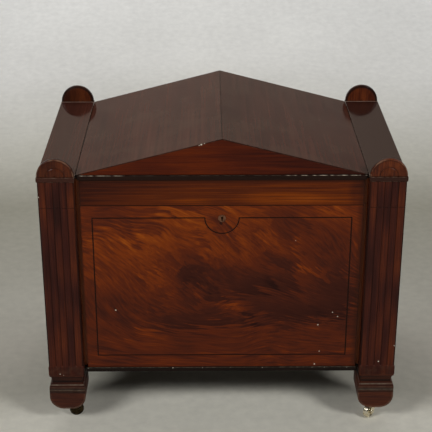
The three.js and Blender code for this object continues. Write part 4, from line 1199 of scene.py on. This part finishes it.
def front_board():
    """The CAD board merged and sliced on the grain's lattice, which it carries as a map.

    Each vertex takes the grain's two numbers from the four places about it on the lattice.
    """
    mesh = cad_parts["front_board"].data.copy()
    shell = merged(mesh)
    lattice, shares, cells = [], [], []
    for axis in (0, 2):
        low, high = BOARD_LOW[axis], BOARD_HIGH[axis]
        facing = [float(axis == 0), 0.0, float(axis == 2)]
        for place in np.arange(low + GRAIN_STEP, high, GRAIN_STEP):
            at = [place * MM * share for share in facing]
            bmesh.ops.bisect_plane(shell, geom=[*shell.verts, *shell.edges, *shell.faces],
                                   plane_co=at, plane_no=facing)
        lattice.append(np.arange(low - GRAIN_STEP, high + 2 * GRAIN_STEP, GRAIN_STEP))
    shell.to_mesh(mesh)
    shell.free()
    points = np.empty(len(mesh.vertices) * 3)
    mesh.vertices.foreach_get("co", points)
    points = points.reshape(-1, 3)[:, ::2] / MM
    for spots, line in zip(points.T, lattice):
        step = np.clip((spots - line[0]) / GRAIN_STEP, 0, line.size - 1.001)
        cells.append(step.astype(int))
        shares.append(step - cells[-1])
    (column, row), (aside, up) = cells, shares
    values = np.stack([
        (grain[row, column] * (1 - aside) + grain[row, column + 1] * aside) * (1 - up)
        + (grain[row + 1, column] * (1 - aside) + grain[row + 1, column + 1] * aside) * up
        for grain in grain_lattice(*lattice)], -1)
    owner = np.empty(len(mesh.loops), int)
    mesh.loops.foreach_get("vertex_index", owner)
    while mesh.uv_layers:
        mesh.uv_layers.remove(mesh.uv_layers[0])
    mesh.uv_layers.new(name="grain").data.foreach_set("uv", (values[owner] * MM).ravel())
    finish_piece("flame_front_board", "case", flame, "front_board", mesh)
    mesh.shade_flat()


front_board()

# Boards, fittings and castors: CAD pieces with their arrises eased

EASED = (
    # CAD pieces, body, slot, material, arris, segments, least angle, outside arrises alone
    (("cap_left", "cap_right"), "lid", "polished_mahogany", cap_wood, 1.4, 4),
    (("lid_board",), "lid", "ebonised_wood", ebonised_band, 1.2, 3),
    (("base_board",), "case", "ebonised_wood", ebonised_bead, 1.2, 3),
    (("lid_front_board",), "lid", "plain_mahogany", frieze, 0.6, 2, 30, True),
    (("lid_end_left", "lid_end_right"), "lid", "plain_mahogany", side_wood, 0.8, 2),
    (("end_block_left", "end_block_right"), "case", "plain_mahogany", side_wood, 0.8, 2),
    (("post_rear_left", "post_rear_right"), "case", "dark_mahogany", rear_wood, 1.0, 3),
    (("lid_head_rear_left", "lid_head_rear_right"), "lid", "dark_mahogany", rear_wood, 1.0, 3),
    (("cross_divider_1", "cross_divider_2", "cross_divider_3"), "case", "baize", baize, 1.5, 3),
    (("keyhole_plate",), "case", "brass", plate_brass, 0.35, 3, 40),
)
for node_names, *finish in EASED:
    for node_name in node_names:
        eased(node_name, f"{node_name}_eased", *finish)

FORK_ARRIS = 0.5
ROLLER_ARRIS = 0.6
for word in ("front_left", "front_right", "rear_left", "rear_right"):
    # The front left castor takes the brass painted dark with shade, the others the brass painted
    # near white with light
    brass = shaded_castor_brass if word == "front_left" else lit_castor_brass
    eased(f"castor_horn_{word}", f"castor_fork_{word}", f"castor_{word}", "castor_brass",
          brass, FORK_ARRIS, 3, 35)
    eased(f"castor_wheel_{word}", f"castor_roller_{word}", f"wheel_{word}", "castor_brass",
          brass, ROLLER_ARRIS, 3, 35)

# The other CAD pieces keep their own shape and take a finish
PLAIN_FINISHES = (
    (string_wood, ("string_inlay",)),
    (back_wood, ("back_board", "lid_back_board")),
    (side_wood, ("end_board_left", "end_board_right")),
    (zinc, ("well_liner",)),
    (baize, ("long_divider_1", "long_divider_2")),
    (dark_metal, ("lock_case", "hinge_pin_left", "hinge_pin_right")),
    (old_brass, ("lock_bolt", "strike_plate", "hinge_case_leaf_left", "hinge_case_leaf_right",
                 "hinge_lid_leaf_left", "hinge_lid_leaf_right")),
)
for material, node_names in PLAIN_FINISHES:
    for node_name in node_names:
        for material_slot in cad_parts[node_name].material_slots:
            material_slot.material = material

# Stage, light and camera

STAGE_HALF = 15000.0
STAGE_NEAR = -15000.0
SWEEP_START = 1000.0
SWEEP_RADIUS = 4000.0
STAGE_HEIGHT = 5000.0


def sweep():
    """Paper laid level, curved up on a quarter circle and carried straight to its top."""
    turn = np.linspace(0, math.pi / 2, 40)
    y = np.concatenate([[STAGE_NEAR], SWEEP_START + SWEEP_RADIUS * np.sin(turn),
                        [SWEEP_START + SWEEP_RADIUS]])
    z = np.concatenate([[0], SWEEP_RADIUS * (1 - np.cos(turn)), [STAGE_HEIGHT]])
    rows = np.stack([np.stack([np.full(y.size, x), y, z], axis=-1)
                     for x in (-STAGE_HALF, STAGE_HALF)])
    here = np.arange(y.size - 1)
    faces = np.stack([here, here + y.size, here + y.size + 1, here + 1], axis=-1)
    mesh = bpy.data.meshes.new("studio_sweep")
    mesh.from_pydata((rows.reshape(-1, 3) * MM).tolist(), [], faces.tolist())
    mesh.materials.append(paper)
    mesh.shade_smooth()
    obj = bpy.data.objects.new("studio_sweep", mesh)
    bpy.context.scene.collection.objects.link(obj)


SOFTBOXES = (
    # Name, place, the point it faces, width, height and watts
    ("left_softbox", (-2430, -2520, 2480), (0, 0, 250), 1300, 680, 66.5),
    ("right_softbox", (2430, -2520, 2480), (0, 0, 250), 860, 600, 59),
    ("overhead_softbox", (0, 500, 2800), (0, 400, 0), 2600, 1600, 5.5),
    ("floor_softbox", (-150, 1600, 2200), (-150, 2400, 400), 4000, 500, 30),
    ("backdrop_softbox", (-700, 2900, 3400), (-800, 4400, 1800), 4500, 600, 54),
)


def softbox(name, place, aim, width, height, power):
    """A rectangular area light at one point, facing another."""
    light = bpy.data.lights.new(name, "AREA")
    light.shape = "RECTANGLE"
    light.size = width * MM
    light.size_y = height * MM
    light.energy = power
    obj = bpy.data.objects.new(name, light)
    obj.location = np.array(place) * MM
    x, y, z = np.array(aim) - np.array(place)
    obj.rotation_euler = (math.acos(-z / math.hypot(x, y, z)), 0, math.atan2(-x, y))
    bpy.context.scene.collection.objects.link(obj)


sweep()
for lamp in SOFTBOXES:
    softbox(*lamp)
world = bpy.data.worlds.new("studio_air")
world.use_nodes = True
plug(world.node_tree, world.node_tree.nodes["Background"],
     {"Color": linear("#b8b6b0"), "Strength": 0.022})
bpy.context.scene.world = world

# The camera stands where the photograph's perspective puts it: 432 pixels across the frame
FOCAL_PIXELS = 1188.9
FRAME_PIXELS = 432
SENSOR = 36.0
CAMERA_PLACE = (-28.87, -2362.5, 1442.8)
CAMERA_DOWN = 24.22           # degrees below level
CAMERA_TURN = -0.4545         # degrees from square on
camera = bpy.data.cameras.new("photograph_camera")
camera.sensor_width = SENSOR
camera.lens = SENSOR * FOCAL_PIXELS / FRAME_PIXELS
camera_object = bpy.data.objects.new("photograph_camera", camera)
camera_object.location = np.array(CAMERA_PLACE) * MM
camera_object.rotation_euler = (math.radians(90 - CAMERA_DOWN), 0.0, math.radians(CAMERA_TURN))
bpy.context.scene.collection.objects.link(camera_object)
bpy.context.scene.camera = camera_object
bpy.context.scene.view_settings.view_transform = "Standard"
